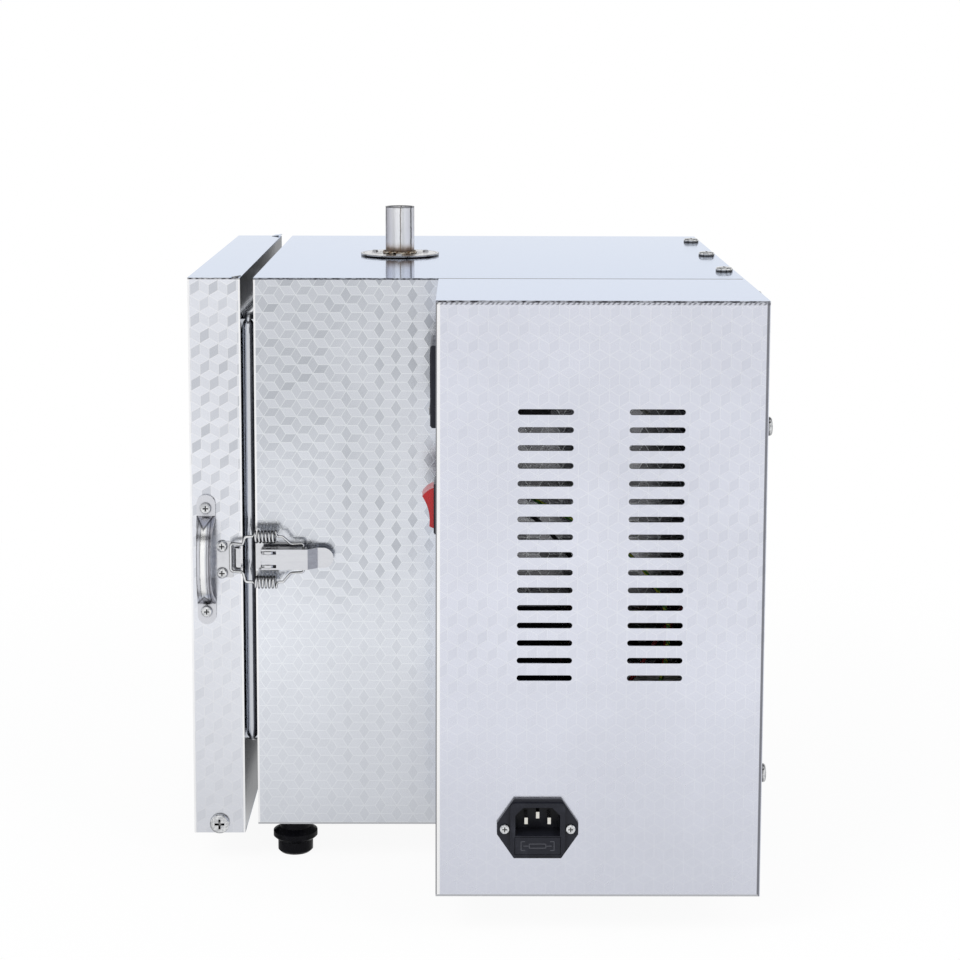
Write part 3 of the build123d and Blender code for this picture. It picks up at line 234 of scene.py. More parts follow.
foot_rubber, tree, shader = new_finish("foot_rubber", (0.012, 0.012, 0.014), roughness=0.28,
                                       Specular_IOR_Level=0.07)
where = place_in(tree)
bloom = ease(tree, noise(tree, where, 160.0, 5.0), 0.45, 0.75)
coat(tree, shader, tint_between(tree, bloom, (0.005, 0.005, 0.007), (0.012, 0.012, 0.015)),
     ease(tree, bloom, 0.0, 1.0, 0.18, 0.5))
relief(tree, shader, noise(tree, where, 900.0, 3.0), 0.0002, 0.5)
dress(foot_rubber, "feet")


# Hinges and sheet parts of the latch
# Stamped leaves rolled round their pins, and the keeper and base of the draw latch, all screwed on.
# Plated steel, polished before plating, with faint polishing lines, a little grey haze and shade painted dark
# into the hollows.
def painted_crevice_shade(tree, colour, reach, darkest, shut=0.30, open_air=0.90):
    """Paints shade into a colour where the surface lies close to another one, in hollows, creases and under
    parts.
    """
    crevice = put(tree, "ShaderNodeAmbientOcclusion", {"Distance": reach}, samples=8)
    depth = ease(tree, crevice.outputs["AO"], shut, open_air, darkest, 1.0)
    made = put(tree, "ShaderNodeVectorMath", {0: colour, 3: depth}, operation="SCALE")
    return made.outputs[0]


chrome, tree, shader = new_finish("chrome", (0.66, 0.67, 0.70), 1.0, 0.10)
where = place_in(tree)
haze = ease(tree, noise(tree, where, 70.0, 5.0, 0.6), 0.35, 0.75)
lines = noise(tree, place_in(tree, (300.0, 300.0, 2600.0)), 1.0, 3.0)
base = tint_between(tree, haze, (0.69, 0.70, 0.73), (0.58, 0.585, 0.61))
# Painted shade in the hollows and under the parts.
coat(tree, shader, painted_crevice_shade(tree, base, 0.0030, 0.06), ease(tree, lines, 0.2, 0.8, 0.05, 0.12))
relief(tree, shader, lines, 0.00004, 0.35)
dress(chrome, "latch_keeper", "latch_base", "latch_lever_pin", "hinge_leaves_body", "hinge_leaves_door",
      "hinge_pins")


# Lever of the latch
# A stamped and bent sheet that draws the bail tight over its pin.
# It is plated and smeared by fingers; its cut edges are painted dark as shade, and shade is painted into its
# hollows.
def facing(tree, kind="True Normal"):
    """The direction in which the surface looks, as three numbers."""
    return parts_of(tree, put(tree, "ShaderNodeNewGeometry").outputs[kind])


lever_steel, tree, shader = new_finish("lever_steel", (0.66, 0.67, 0.70), 0.80, 0.16)
smears = noise(tree, place_in(tree, (60.0, 60.0, 500.0)), 1.0, 4.0, 0.6)
# Painted shade: faces that don't look front or back are painted near black.
painted_dark_edge = ease(tree, calc(tree, "ABSOLUTE", facing(tree)[1]), 0.60, 0.35)
base = tint_between(tree, smears, (0.62, 0.63, 0.67), (0.76, 0.77, 0.80))
base = tint_between(tree, painted_dark_edge, base, (0.05, 0.05, 0.055))
coat(tree, shader, painted_crevice_shade(tree, base, 0.0030, 0.06), ease(tree, smears, 0.3, 0.7, 0.12, 0.24))
dress(lever_steel, "latch_lever")


# Screws
# Machine screws with cross recesses, which hold the sheets, the feet, the hinges and the fittings.
# Plated steel with bright, wiped faces; shade is painted dark into the recesses and under the heads.
screw_steel, tree, shader = new_finish("screw_steel", (0.66, 0.67, 0.70), 1.0, 0.12)
wipe = noise(tree, place_in(tree), 600.0, 4.0, 0.6)
base = tint_between(tree, ease(tree, wipe, 0.35, 0.65), (0.50, 0.51, 0.53), (0.84, 0.85, 0.86))
coat(tree, shader, painted_crevice_shade(tree, base, 0.0026, 0.01, 0.52, 0.97), ease(tree, wipe, 0.3, 0.7, 0.08, 0.22))
dress(screw_steel, "foot_screws", "rear_panel_screws", "control_cover_screws", "inlet_screws",
      "door_side_screws", "door_hardware_screws", "hinge_screws_body", "hinge_screws_door")


# Case sheets of the furnace
# Thin stainless sheet pressed all over with a pattern of small cubes, folded at the edges and spot welded.
# Each cube's faces are painted a little darker or lighter, as shade, and the fine ribs between them are
# painted bright, as highlights.
def place_parts(tree):
    """The place of a point in the object, as three numbers."""
    return parts_of(tree, put(tree, "ShaderNodeTexCoord").outputs["Object"])


def cube_pattern(name, steep):
    """A node group that gives the tone and the ribs of the pressed cubes on upright faces."""
    group = bpy.data.node_groups.new(name, "ShaderNodeTree")
    face = group.interface
    face.new_socket("Across", in_out="INPUT", socket_type="NodeSocketFloat")
    face.new_socket("Up", in_out="INPUT", socket_type="NodeSocketFloat")
    for title in ("Upper", "Narrow", "Lower", "Rib", "Cell"):
        face.new_socket(title, in_out="OUTPUT", socket_type="NodeSocketFloat")
    start = put(group, "NodeGroupInput")
    end = put(group, "NodeGroupOutput")
    where, looks = place_parts(group), facing(group)
    end_on = calc(group, "GREATER_THAN", calc(group, "ABSOLUTE", looks[0]), 0.7)
    along = put(group, "ShaderNodeMix", {0: end_on, 2: where[0], 3: where[1]}, data_type="FLOAT")
    across = calc(group, "DIVIDE", along.outputs[0], start.outputs["Across"])
    up = calc(group, "DIVIDE", where[2], start.outputs["Up"])
    first, second = (up, across) if steep else (across, up)
    root = math.sqrt(3.0)
    point = put(group, "ShaderNodeCombineXYZ", {0: calc(group, "MULTIPLY", first, root), 1: second})
    half = (root / 2, 0.5, 0.5)

    def wrapped(vector):
        made = put(group, "ShaderNodeVectorMath", {0: vector, 1: half, 2: tuple(-side for side in half)},
                   operation="WRAP")
        return made.outputs[0]

    moved = put(group, "ShaderNodeVectorMath", {0: point.outputs[0], 1: (root / 2, 0.5, 0.0)},
                operation="SUBTRACT")
    near, far = wrapped(point.outputs[0]), wrapped(moved.outputs[0])
    near_length = put(group, "ShaderNodeVectorMath", {0: near}, operation="LENGTH").outputs["Value"]
    far_length = put(group, "ShaderNodeVectorMath", {0: far}, operation="LENGTH").outputs["Value"]
    pick = put(group, "ShaderNodeMix", {0: calc(group, "GREATER_THAN", near_length, far_length)},
               data_type="VECTOR")
    group.links.new(near, pick.inputs[4])
    group.links.new(far, pick.inputs[5])
    offset = pick.outputs[1]
    centre = put(group, "ShaderNodeVectorMath", {0: point.outputs[0], 1: offset}, operation="SUBTRACT")
    half_step = (0.433, 0.25, 0.5)
    rounded = put(group, "ShaderNodeVectorMath", {0: centre.outputs[0], 1: half_step}, operation="SNAP")
    luck = put(group, "ShaderNodeTexWhiteNoise", {0: rounded.outputs[0]}, noise_dimensions="3D")

    def towards(angle):
        made = put(group, "ShaderNodeVectorMath", {0: offset, 1: (math.cos(angle), math.sin(angle), 0.0)},
                   operation="DOT_PRODUCT")
        return made.outputs["Value"]

    quarter, turn = math.pi / 2, 2 * math.pi / 3
    sides = [towards(quarter + turn * count) for count in range(3)]
    faces = []
    for count in range(3):
        faces.append(calc(group, "MINIMUM", sides[count],
                          calc(group, "MULTIPLY", sides[(count + 1) % 3], -1.0)))
    spokes = calc(group, "MAXIMUM", faces[0], calc(group, "MAXIMUM", faces[1], faces[2]))
    outline = None
    for angle in (quarter, math.pi / 6, 5 * math.pi / 6):
        reach = calc(group, "ABSOLUTE", towards(angle))
        outline = reach if outline is None else calc(group, "MAXIMUM", outline, reach)
    edge = calc(group, "MINIMUM", calc(group, "SUBTRACT", 0.5, outline), spokes)
    upright = calc(group, "LESS_THAN", calc(group, "ABSOLUTE", looks[2]), 0.5)
    rib = calc(group, "MULTIPLY", ease(group, edge, 0.030, 0.006), upright)
    group.links.new(rib, end.inputs["Rib"])
    for title, value in zip(("Upper", "Narrow", "Lower"), faces):
        inside = calc(group, "MULTIPLY", calc(group, "GREATER_THAN", value, 0.0), upright)
        group.links.new(inside, end.inputs[title])
    group.links.new(luck.outputs["Value"], end.inputs["Cell"])
    return group


level_cubes = cube_pattern("level_cubes", False)
upright_cubes = cube_pattern("upright_cubes", True)


def line_at(tree, value, middle, outer, inner, share=1.0):
    """A line where a value comes near to middle, full within inner of it and gone beyond outer."""
    off = calc(tree, "ABSOLUTE", calc(tree, "SUBTRACT", value, middle))
    return ease(tree, off, outer, inner, 0.0, share)


def filed_edge(tree, colour, level):
    """Slanting dark file marks above a level, where a folded edge was dressed by hand."""
    where = place_parts(tree)
    phase = calc(tree, "MULTIPLY_ADD", where[2], -1900.0, calc(tree, "MULTIPLY", where[0], 2100.0))
    phase = calc(tree, "MULTIPLY_ADD", noise(tree, place_in(tree), 120.0, 3.0), 9.0, phase)
    strokes = ease(tree, calc(tree, "SINE", phase), -0.2, 0.5, 0.25, 1.0)
    band = ease(tree, where[2], level, level + 0.0006)
    marks = calc(tree, "MULTIPLY", calc(tree, "MULTIPLY", band, strokes), 0.72)
    return tint_between(tree, marks, colour, (0.10, 0.10, 0.11))


def bent_edges(tree, colour, level, uprights=(), seams=()):
    """Adds a dark cut edge above a level, painted highlights on folds along upright corners and painted shade
    in the seams beside them.
    """
    where = place_parts(tree)
    sideways = calc(tree, "GREATER_THAN", calc(tree, "ABSOLUTE", facing(tree)[1]), 0.7)
    fold = seam = 0.0
    for place in uprights:
        fold = calc(tree, "MAXIMUM", fold, line_at(tree, where[0], place, 0.0016, 0.0008))
    colour = tint_between(tree, calc(tree, "MULTIPLY", fold, sideways), colour, (0.97, 0.97, 0.98))
    for place in seams:
        seam = calc(tree, "MAXIMUM", seam, line_at(tree, where[0], place, 0.0009, 0.0006))
    seam = calc(tree, "MULTIPLY", seam, calc(tree, "MULTIPLY", sideways, 0.75))
    colour = tint_between(tree, seam, colour, (0.05, 0.05, 0.06))
    broken = ease(tree, noise(tree, place_in(tree, (420.0, 60.0, 900.0)), 1.0, 3.0), 0.35, 0.62, 0.35, 1.0)
    cut = calc(tree, "MULTIPLY", ease(tree, where[2], level, level + 0.0003), broken)
    return tint_between(tree, calc(tree, "MULTIPLY", cut, sideways), colour, (0.05, 0.05, 0.06))


def by_height(tree, height, tones):
    """A painted tone of light and shade that changes with height above the bench; tones are pairs of height
    and tone.
    """
    full_height, brightest = 0.43, 2.0
    ramp = put(tree, "ShaderNodeValToRGB", {0: calc(tree, "DIVIDE", height, full_height)})
    stops = ramp.color_ramp.elements
    stops[0].position, stops[1].position = tones[0][0] / full_height, tones[-1][0] / full_height
    for pair in tones[1:-1]:
        stops.new(pair[0] / full_height)
    for stop, pair in zip(stops, tones):
        stop.color = (*[pair[1] / brightest] * 3, 1.0)
    return calc(tree, "MULTIPLY", ramp.outputs[0], brightest)


# Steel seen at a grazing angle turns from its own tone towards this one.
EDGE_TINT = (0.845, 0.90, 1.0, 1.0)

# A place past the model's ends, for a mark that a sheet doesn't have.
NOWHERE = 9.0


def pressed_steel(name, cubes, across, up, colour, dark_face, mid_face, strength, ribs, tones, rough=0.17,
                  mid=0.5, uprights=(), level=NOWHERE, lean_by=0.0, seams=(), hidden=NOWHERE, filed=NOWHERE):
    """Stainless sheet with pressed cubes, across and up metres large.

    Strength, mid and ribs say how clearly the painted shade on the dark faces and the middle faces and the
    painted highlights on the ribs show. Tones are painted light and shade that go by height, and lean_by
    paints light and shade on the foot of the sheet along x. Uprights and seams are places along x: the folds
    at the uprights get painted highlights and the seams painted shade. The cut edge lies above level, the
    file marks above filed, and the part past hidden stands behind the control box and is painted in shadow.
    """
    made, tree, shader = new_finish(name, colour, 1.0, rough)
    pattern = put(tree, "ShaderNodeGroup", {"Across": across, "Up": up}, node_tree=cubes)
    where = place_in(tree)
    side, _, height = parts_of(tree, where)
    # Painted shade on the cubes' dark and middle faces, stronger or weaker in drifting patches.
    cloudy = calc(tree, "MULTIPLY_ADD", height, 1.1, noise(tree, where, 9.0, 2.0))
    drift = ease(tree, cloudy, 0.60, 0.98)
    patches = noise(tree, place_in(tree, (1.0, 1.0, 1.0), (0.4, 1.1, 0.2)), 11.0, 2.0)
    drift_two = ease(tree, calc(tree, "MULTIPLY_ADD", side, 7.0, patches), 0.22, -0.18)
    luck = pattern.outputs["Cell"]
    narrow = calc(tree, "MULTIPLY", pattern.outputs[dark_face], ease(tree, drift, 0.0, 1.0, 0.20, 1.0))
    narrow = calc(tree, "MULTIPLY", narrow, calc(tree, "MULTIPLY_ADD", drift_two, -0.55 * mid, 1.0))
    lower = calc(tree, "MULTIPLY", pattern.outputs[mid_face], calc(tree, "MULTIPLY", drift_two, drift))
    shade = calc(tree, "MULTIPLY_ADD", lower, mid, narrow)
    shade = calc(tree, "MULTIPLY", shade, ease(tree, luck, 0.0, 1.0, 0.5, 1.1))
    shade = calc(tree, "MULTIPLY", shade, strength)
    dark_tone = tuple(part * tone for part, tone in zip(colour, (0.68, 0.69, 0.70)))
    light = tint_between(tree, shade, colour, dark_tone)
    looks = facing(tree)
    # Painted shadow on the near side of the sheet where it stands behind the control box.
    near_side = calc(tree, "LESS_THAN", looks[1], -0.7)
    behind_box = calc(tree, "MULTIPLY", calc(tree, "GREATER_THAN", side, hidden), near_side)
    shadowed = tint_between(tree, luck, (0.18, 0.18, 0.19), (0.62, 0.62, 0.65))
    light = tint_between(tree, behind_box, light, shadowed)
    # Painted highlights on the ribs, fainter near the foot.
    fade = ease(tree, height, 0.05, 0.22, 0.6, 1.0)
    rib = calc(tree, "MULTIPLY", pattern.outputs["Rib"], calc(tree, "MULTIPLY", fade, ribs))
    rib = calc(tree, "MAXIMUM", rib, calc(tree, "MULTIPLY", pattern.outputs["Rib"], behind_box))
    light = tint_between(tree, rib, light, tuple(min(part * 1.28, 0.97) for part in colour))
    clouds = ease(tree, noise(tree, where, 14.0, 5.0, 0.6), 0.3, 0.7, 0.97, 1.03)
    grain = noise(tree, place_in(tree, (2500.0, 2500.0, 2500.0)), 1.0, 2.0)
    grain_tone = ease(tree, grain, 0.3, 0.7, 0.985, 1.015)
    # Painted light and shade by height, and along x at the foot of the sheet.
    both = calc(tree, "MULTIPLY", calc(tree, "MULTIPLY", clouds, grain_tone), by_height(tree, height, tones))
    lean = calc(tree, "MULTIPLY", calc(tree, "MULTIPLY", ease(tree, height, 0.24, 0.12), -lean_by),
                calc(tree, "ADD", side, 0.08))
    both = calc(tree, "MULTIPLY", both, calc(tree, "ADD", 1.0, lean))
    final = put(tree, "ShaderNodeVectorMath", {0: light, 3: both}, operation="SCALE")
    edged = filed_edge(tree, bent_edges(tree, final.outputs[0], level, uprights, seams), filed)
    # Faces that look up are painted one blue-grey tone, as painted reflection.
    upward = calc(tree, "GREATER_THAN", looks[2], 0.6)
    edged = tint_between(tree, upward, edged, (0.60, 0.64, 0.71))
    shader.inputs["Specular Tint"].default_value = EDGE_TINT
    smear = ease(tree, noise(tree, where, 30.0, 4.0), 0.35, 0.7)
    rough_value = calc(tree, "MULTIPLY_ADD", smear, 0.07, rough)
    rough_value = calc(tree, "MULTIPLY_ADD", narrow, 0.08, rough_value)
    rough_value = calc(tree, "MULTIPLY", rough_value, calc(tree, "MULTIPLY_ADD", upward, -0.6, 1.0))
    coat(tree, shader, edged, rough_value)
    bumps = calc(tree, "ADD", pattern.outputs["Rib"], calc(tree, "MULTIPLY", grain, 0.10))
    relief(tree, shader, bumps, 0.00005, 0.5 * ribs)
    return made


case_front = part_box("right_side_panel")[0][0]
side_low, side_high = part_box("control_side_panel")
case_steel = pressed_steel(
    "case_steel", level_cubes, 0.0216, 0.0114, (0.720, 0.745, 0.80), "Narrow", "Lower", 0.9, 0.55,
    ((0.0, 0.85), (0.05, 0.95), (0.15, 1.06), (0.24, 0.97), (0.40, 0.93)), mid=0.85, lean_by=1.0,
    uprights=(case_front,), seams=(case_front - 0.0009,), hidden=side_low[0] + 0.0031)
dress(case_steel, "right_side_panel", "left_side_panel", "rear_panel")


# Top sheets
# Plain sheet, brushed along the furnace and mirror bright at a low angle.
# A dark line of painted shade, in broken strokes, lies where the control box's top meets the furnace.
top_steel, tree, shader = new_finish("top_steel", (0.52, 0.605, 0.775), 1.0, 0.08)
where = place_in(tree)
clouds = ease(tree, noise(tree, where, 9.0, 4.0), 0.3, 0.7, 0.0, 1.0)
box_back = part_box("control_top_panel")[1][1]
below_tops = 0.39
depth = parts_of(tree, where)[1]
on_box = calc(tree, "LESS_THAN", depth, box_back)
base = tint_between(tree, on_box, (0.59, 0.63, 0.71), (0.64, 0.665, 0.735))
base = tint_between(tree, calc(tree, "MULTIPLY", clouds, 0.08), base, (0.66, 0.70, 0.76))
# Painted shade along the step where the two tops meet; it also darkens the grazing tint there.
step_shade_breaks = ease(tree, noise(tree, place_in(tree, (300.0, 900.0, 300.0)), 1.0, 3.0), 0.30, 0.55, 0.55, 0.90)
step_shade = calc(tree, "MULTIPLY", line_at(tree, depth, box_back - 0.0016, 0.0018, 0.0012), step_shade_breaks)
base = tint_between(tree, step_shade, base, (0.04, 0.04, 0.05))
step_shade_tint = tint_between(tree, step_shade, EDGE_TINT[:3], (0.12, 0.12, 0.13))
tree.links.new(step_shade_tint, shader.inputs["Specular Tint"])
grain = noise(tree, place_in(tree, (60.0, 3200.0, 3200.0)), 1.0, 3.0)
coat(tree, shader, bent_edges(tree, base, below_tops), ease(tree, grain, 0.2, 0.8, 0.05, 0.13))
relief(tree, shader, grain, 0.00002, 0.3)
dress(top_steel, "top_panel", "control_top_panel")


# Bottom sheets and rivets
# The folded sheets under the furnace and the control box, and the rivets of the pipe's flange.
# Plain stainless steel, as rolled, with its dull grain.
plain_steel, tree, shader = new_finish("plain_steel", (0.52, 0.53, 0.55), 1.0, 0.32)
grain = noise(tree, place_in(tree, (900.0, 90.0, 900.0)), 1.0, 4.0)
coat(tree, shader, tint_between(tree, grain, (0.44, 0.45, 0.47), (0.60, 0.61, 0.64)),
     ease(tree, grain, 0.2, 0.8, 0.24, 0.42))
relief(tree, shader, grain, 0.00005, 0.4)
dress(plain_steel, "floor_pan", "chimney_rivets", "control_floor_panel")


# Front frame
# The sheet round the chamber's mouth, welded to the case behind the door.
# Stainless steel painted near black as the shade in the door's gap, with paler upright streaks as painted
# highlights.
frame_steel, tree, shader = new_finish("frame_steel", (0.10, 0.10, 0.11), 1.0, 0.3)
streaks = noise(tree, place_in(tree, (1400.0, 1400.0, 14.0)), 1.0, 3.0, 0.6)
tone = tint_between(tree, ease(tree, streaks, 0.45, 0.68), (0.06, 0.06, 0.07), (0.26, 0.265, 0.28))
coat(tree, shader, tone, ease(tree, streaks, 0.3, 0.7, 0.22, 0.40))
relief(tree, shader, streaks, 0.00004, 0.4)
dress(frame_steel, "front_frame")


# Insulation
# A thick fibre blanket fills the space between the chamber and the sheets.
# It is white ceramic wool, laid in by hand, and only its edges ever show.
blanket, tree, shader = new_finish("blanket_fibre", (0.86, 0.85, 0.80), roughness=0.95)
strands = noise(tree, place_in(tree, (900.0, 180.0, 900.0)), 1.0, 5.0, 0.7, 0.6)
coat(tree, shader, tint_between(tree, strands, (0.74, 0.72, 0.66), (0.93, 0.92, 0.88)))
relief(tree, shader, strands, 0.0008, 0.8)
dress(blanket, "insulation_blanket")


# Chamber
# Vacuum-formed ceramic fibre, white and soft, with a few scorched patches.
# The door's filling and plug are of the same fibre.
muffle, tree, shader = new_finish("ceramic_fibre", (0.88, 0.87, 0.83), roughness=0.9)
where = place_in(tree)
fuzz = noise(tree, where, 700.0, 6.0, 0.7)
stain = ease(tree, noise(tree, where, 26.0, 5.0, 0.6), 0.52, 0.8)
base = tint_between(tree, fuzz, (0.80, 0.78, 0.73), (0.92, 0.91, 0.88))
coat(tree, shader, tint_between(tree, calc(tree, "MULTIPLY", stain, 0.5), base, (0.66, 0.58, 0.46)))
relief(tree, shader, fuzz, 0.0006, 0.7)
dress(muffle, "muffle_chamber", "door_insulation")


# Hearth plate
# A loose slab of hard ceramic on the chamber's floor, where the work stands.
# It is sandy in tone, mottled and specked.
hearth, tree, shader = new_finish("hearth_ceramic", (0.72, 0.66, 0.56), roughness=0.8)
where = place_in(tree)
specks = ease(tree, noise(tree, where, 1400.0, 2.0), 0.62, 0.72)
mottle = noise(tree, where, 60.0, 5.0)
base = tint_between(tree, mottle, (0.66, 0.60, 0.50), (0.80, 0.75, 0.66))
coat(tree, shader, tint_between(tree, specks, base, (0.38, 0.32, 0.26)))
relief(tree, shader, calc(tree, "ADD", mottle, specks), 0.0003, 0.5)
dress(hearth, "hearth_plate")


# Heating rods
# Two bent resistance elements that lie in pockets of the chamber's side walls.
# The alloy is oxidised dark grey, with browner patches.
element, tree, shader = new_finish("heating_alloy", (0.16, 0.14, 0.13), 0.6, 0.62)
where = place_in(tree)
scale_marks = noise(tree, where, 300.0, 5.0, 0.65)
coat(tree, shader, tint_between(tree, scale_marks, (0.09, 0.08, 0.075), (0.30, 0.25, 0.21)))
relief(tree, shader, scale_marks, 0.0003, 0.6)
dress(element, "heating_elements")


# Thermocouple
# A white ceramic sheath that reaches into the chamber, with a black head and screw terminals outside.
# The sheath is fired clay, a little uneven in tone.
def mottled(name, colour, roughness, scale, detail, tones, bump=0.0, strength=0.5):
    """A fired, moulded or printed material whose colour wanders between two tones."""
    made, tree, shader = new_finish(name, colour, roughness=roughness)
    cloud = noise(tree, place_in(tree), scale, detail)
    coat(tree, shader, tint_between(tree, cloud, *tones))
    if bump:
        relief(tree, shader, cloud, bump, strength)
    return made


sheath = mottled("sheath_ceramic", (0.86, 0.84, 0.78), 0.45, 200.0, 4.0,
                 ((0.80, 0.77, 0.70), (0.92, 0.90, 0.85)), 0.0001, 0.4)
dress(sheath, "thermocouple_sheath")


# Black plastic parts
# The thermocouple's head, the housings in the control box, the fuse drawer and the relay.
# They are moulded with a fine matt skin, which is rubbed a little paler in places.
black_plastic, tree, shader = new_finish("black_plastic", (0.022, 0.023, 0.028), roughness=0.38,
                                         Specular_IOR_Level=0.22)
where = place_in(tree)
pores = noise(tree, where, 2600.0, 2.0)
wear = ease(tree, noise(tree, where, 90.0, 5.0), 0.5, 0.8)
coat(tree, shader, tint_between(tree, wear, (0.014, 0.015, 0.022), (0.032, 0.034, 0.046)),
     ease(tree, wear, 0.0, 1.0, 0.30, 0.48))
relief(tree, shader, pores, 0.00008, 0.5)
dress(black_plastic, "thermocouple_head", "controller_case", "switch_housing", "inlet_housing",
      "fuse_drawer", "solid_state_relay")


# Exhaust pipe
# A drawn stainless tube, dull, painted light down its middle and shaded towards both sides, with upright dark
# lines of painted reflection and painted shade in its hollows.
# Heat has left straw and brown tints above the weld.
def middle_of(name):
    """The middle of a CAD node's box."""
    low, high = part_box(name)
    return [(first + second) / 2 for first, second in zip(low, high)]


pipe_low, pipe_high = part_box("chimney_pipe")
flange_low, flange_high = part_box("chimney_flange")
pipe_axis = middle_of("chimney_pipe")[:2]
pipe_radius = (pipe_high[0] - pipe_low[0]) / 2
flange_radius = (flange_high[0] - flange_low[0]) / 2
# Upright lines of painted reflection across the pipe: place, half width, tone and share.
painted_pipe_streaks = ((0.12, 0.055, (0.16, 0.13, 0.11), 0.85), (0.84, 0.060, (0.05, 0.05, 0.06), 0.9),
              (-0.90, 0.060, (0.16, 0.16, 0.18), 0.8), (1.06, 0.050, (0.2, 0.2, 0.22), 0.7))

tinted, tree, shader = new_finish("heat_tinted_steel", (0.62, 0.61, 0.60), 0.72, 0.3)
where = place_in(tree)
marks = noise(tree, where, 120.0, 5.0, 0.6)
side, _, height = parts_of(tree, where)
above = calc(tree, "SUBTRACT", height, flange_high[2])
reach = calc(tree, "MULTIPLY_ADD", marks, -0.0045, above)
near_weld = ease(tree, reach, 0.0062, 0.0005)
brown = ease(tree, reach, 0.0034, 0.0002)
across = calc(tree, "DIVIDE", calc(tree, "SUBTRACT", side, pipe_axis[0]), pipe_radius)
# Painted light down the pipe's middle and painted shade towards its sides.
shade = ease(tree, across, -0.20, -0.85)
base = tint_between(tree, shade, (0.97, 0.97, 0.98), (0.66, 0.66, 0.72))
base = tint_between(tree, ease(tree, across, 0.10, 0.60, 0.0, 0.55), base, (0.70, 0.70, 0.76))
wander = calc(tree, "MULTIPLY_ADD", noise(tree, where, 260.0, 3.0), 0.10, across)
for middle, half, tone, share in painted_pipe_streaks:
    base = tint_between(tree, line_at(tree, wander, middle, half, half * 0.4, share), base, tone)
straw = tint_between(tree, calc(tree, "MULTIPLY", near_weld, 0.75), base, (0.34, 0.25, 0.17))
colour = tint_between(tree, calc(tree, "MULTIPLY", brown, 0.8), straw, (0.10, 0.06, 0.04))
rim = ease(tree, height, pipe_high[2] - 0.0009, pipe_high[2] - 0.0005)
colour = tint_between(tree, calc(tree, "MULTIPLY", rim, 0.8), colour, (0.05, 0.05, 0.06))
lines = noise(tree, place_in(tree, (1500.0, 1500.0, 60.0)), 1.0, 3.0)
coat(tree, shader, painted_crevice_shade(tree, colour, 0.003, 0.1), ease(tree, lines, 0.2, 0.8, 0.30, 0.42))
relief(tree, shader, lines, 0.00006, 0.4)
dress(tinted, "chimney_pipe")


# Flange of the exhaust pipe
# A turned disc of stainless steel, riveted to the roof, with a scribed line near its dark rim.
# Weld spatter has burnt dark spots round the pipe.
flange_steel, tree, shader = new_finish("flange_steel", (0.8, 0.8, 0.8), 1.0, 0.2)
where = place_in(tree)
from_axis = put(tree, "ShaderNodeVectorMath", {0: where, 1: (*pipe_axis, flange_high[2])},
                operation="DISTANCE")
outward = from_axis.outputs["Value"]
blots = noise(tree, where, 330.0, 5.0, 0.65, 0.8)
base = tint_between(tree, noise(tree, where, 60.0, 3.0), (0.50, 0.51, 0.54), (0.86, 0.86, 0.88))
inner = ease(tree, outward, flange_radius * 0.80, flange_radius * 0.45)
spatter = calc(tree, "MULTIPLY", ease(tree, blots, 0.42, 0.48), inner)
base = tint_between(tree, spatter, base, (0.03, 0.027, 0.027))
scribed = line_at(tree, outward, flange_radius * 0.93, 0.0006, 0.0002)
base = tint_between(tree, scribed, base, (0.04, 0.04, 0.045))
height = calc(tree, "SUBTRACT", parts_of(tree, where)[2], flange_low[2])
on_rim = calc(tree, "GREATER_THAN", outward, flange_radius * 0.985)
low_dark = ease(tree, height, 0.00098, 0.00080)
top_dark = ease(tree, height, 0.00125, 0.00140)
dark_rim = calc(tree, "MULTIPLY", calc(tree, "MAXIMUM", low_dark, top_dark), on_rim)
base = tint_between(tree, dark_rim, base, (0.012, 0.012, 0.014))
# Painted shade where the flange lies close to the pipe, the weld and the rivets.
coat(tree, shader, painted_crevice_shade(tree, base, 0.003, 0.1), ease(tree, blots, 0.3, 0.7, 0.12, 0.34))
relief(tree, shader, blots, 0.0002, 0.4)
dress(flange_steel, "chimney_flange")


# Weld of the exhaust pipe
# A hand-laid bead of stainless weld runs round the foot of the pipe, where it meets its flange.
# It is lumpy, and scorched brown between bright crests.
def pick_out(*pieces):
    """Selects these pieces alone and makes the first one active."""
    bpy.ops.object.select_all(action="DESELECT")
    for piece in pieces:
        piece.select_set(True)
    if pieces:
        bpy.context.view_layer.objects.active = pieces[0]


def settle(piece, body, finish):
    """Puts a new piece's place into its mesh, gives it its finish and lets it ride on a body."""
    pick_out(piece)
    bpy.ops.object.transform_apply(location=True, rotation=True, scale=True)
    piece.data.materials.clear()
    piece.data.materials.append(finish)
    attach(piece, body)


def finish_shape(piece, kind, **settings):
    """Adds one modifier and applies it."""
    pick_out(piece)
    made = piece.modifiers.new("shape", kind)
    for name, value in settings.items():
        setattr(made, name, value)
    bpy.ops.object.modifier_apply(modifier=made.name)


weld_steel, tree, shader = new_finish("weld_steel", (0.45, 0.38, 0.30), 1.0, 0.28)
where = place_in(tree)
scorch = noise(tree, where, 420.0, 5.0, 0.65)
tone = tint_between(tree, ease(tree, scorch, 0.40, 0.62), (0.16, 0.10, 0.06), (0.74, 0.68, 0.58))
# Painted shade in the hollows between the lumps and against the pipe.
coat(tree, shader, painted_crevice_shade(tree, tone, 0.002, 0.15), ease(tree, scorch, 0.3, 0.7, 0.14, 0.45))
relief(tree, shader, scorch, 0.0003, 0.6)

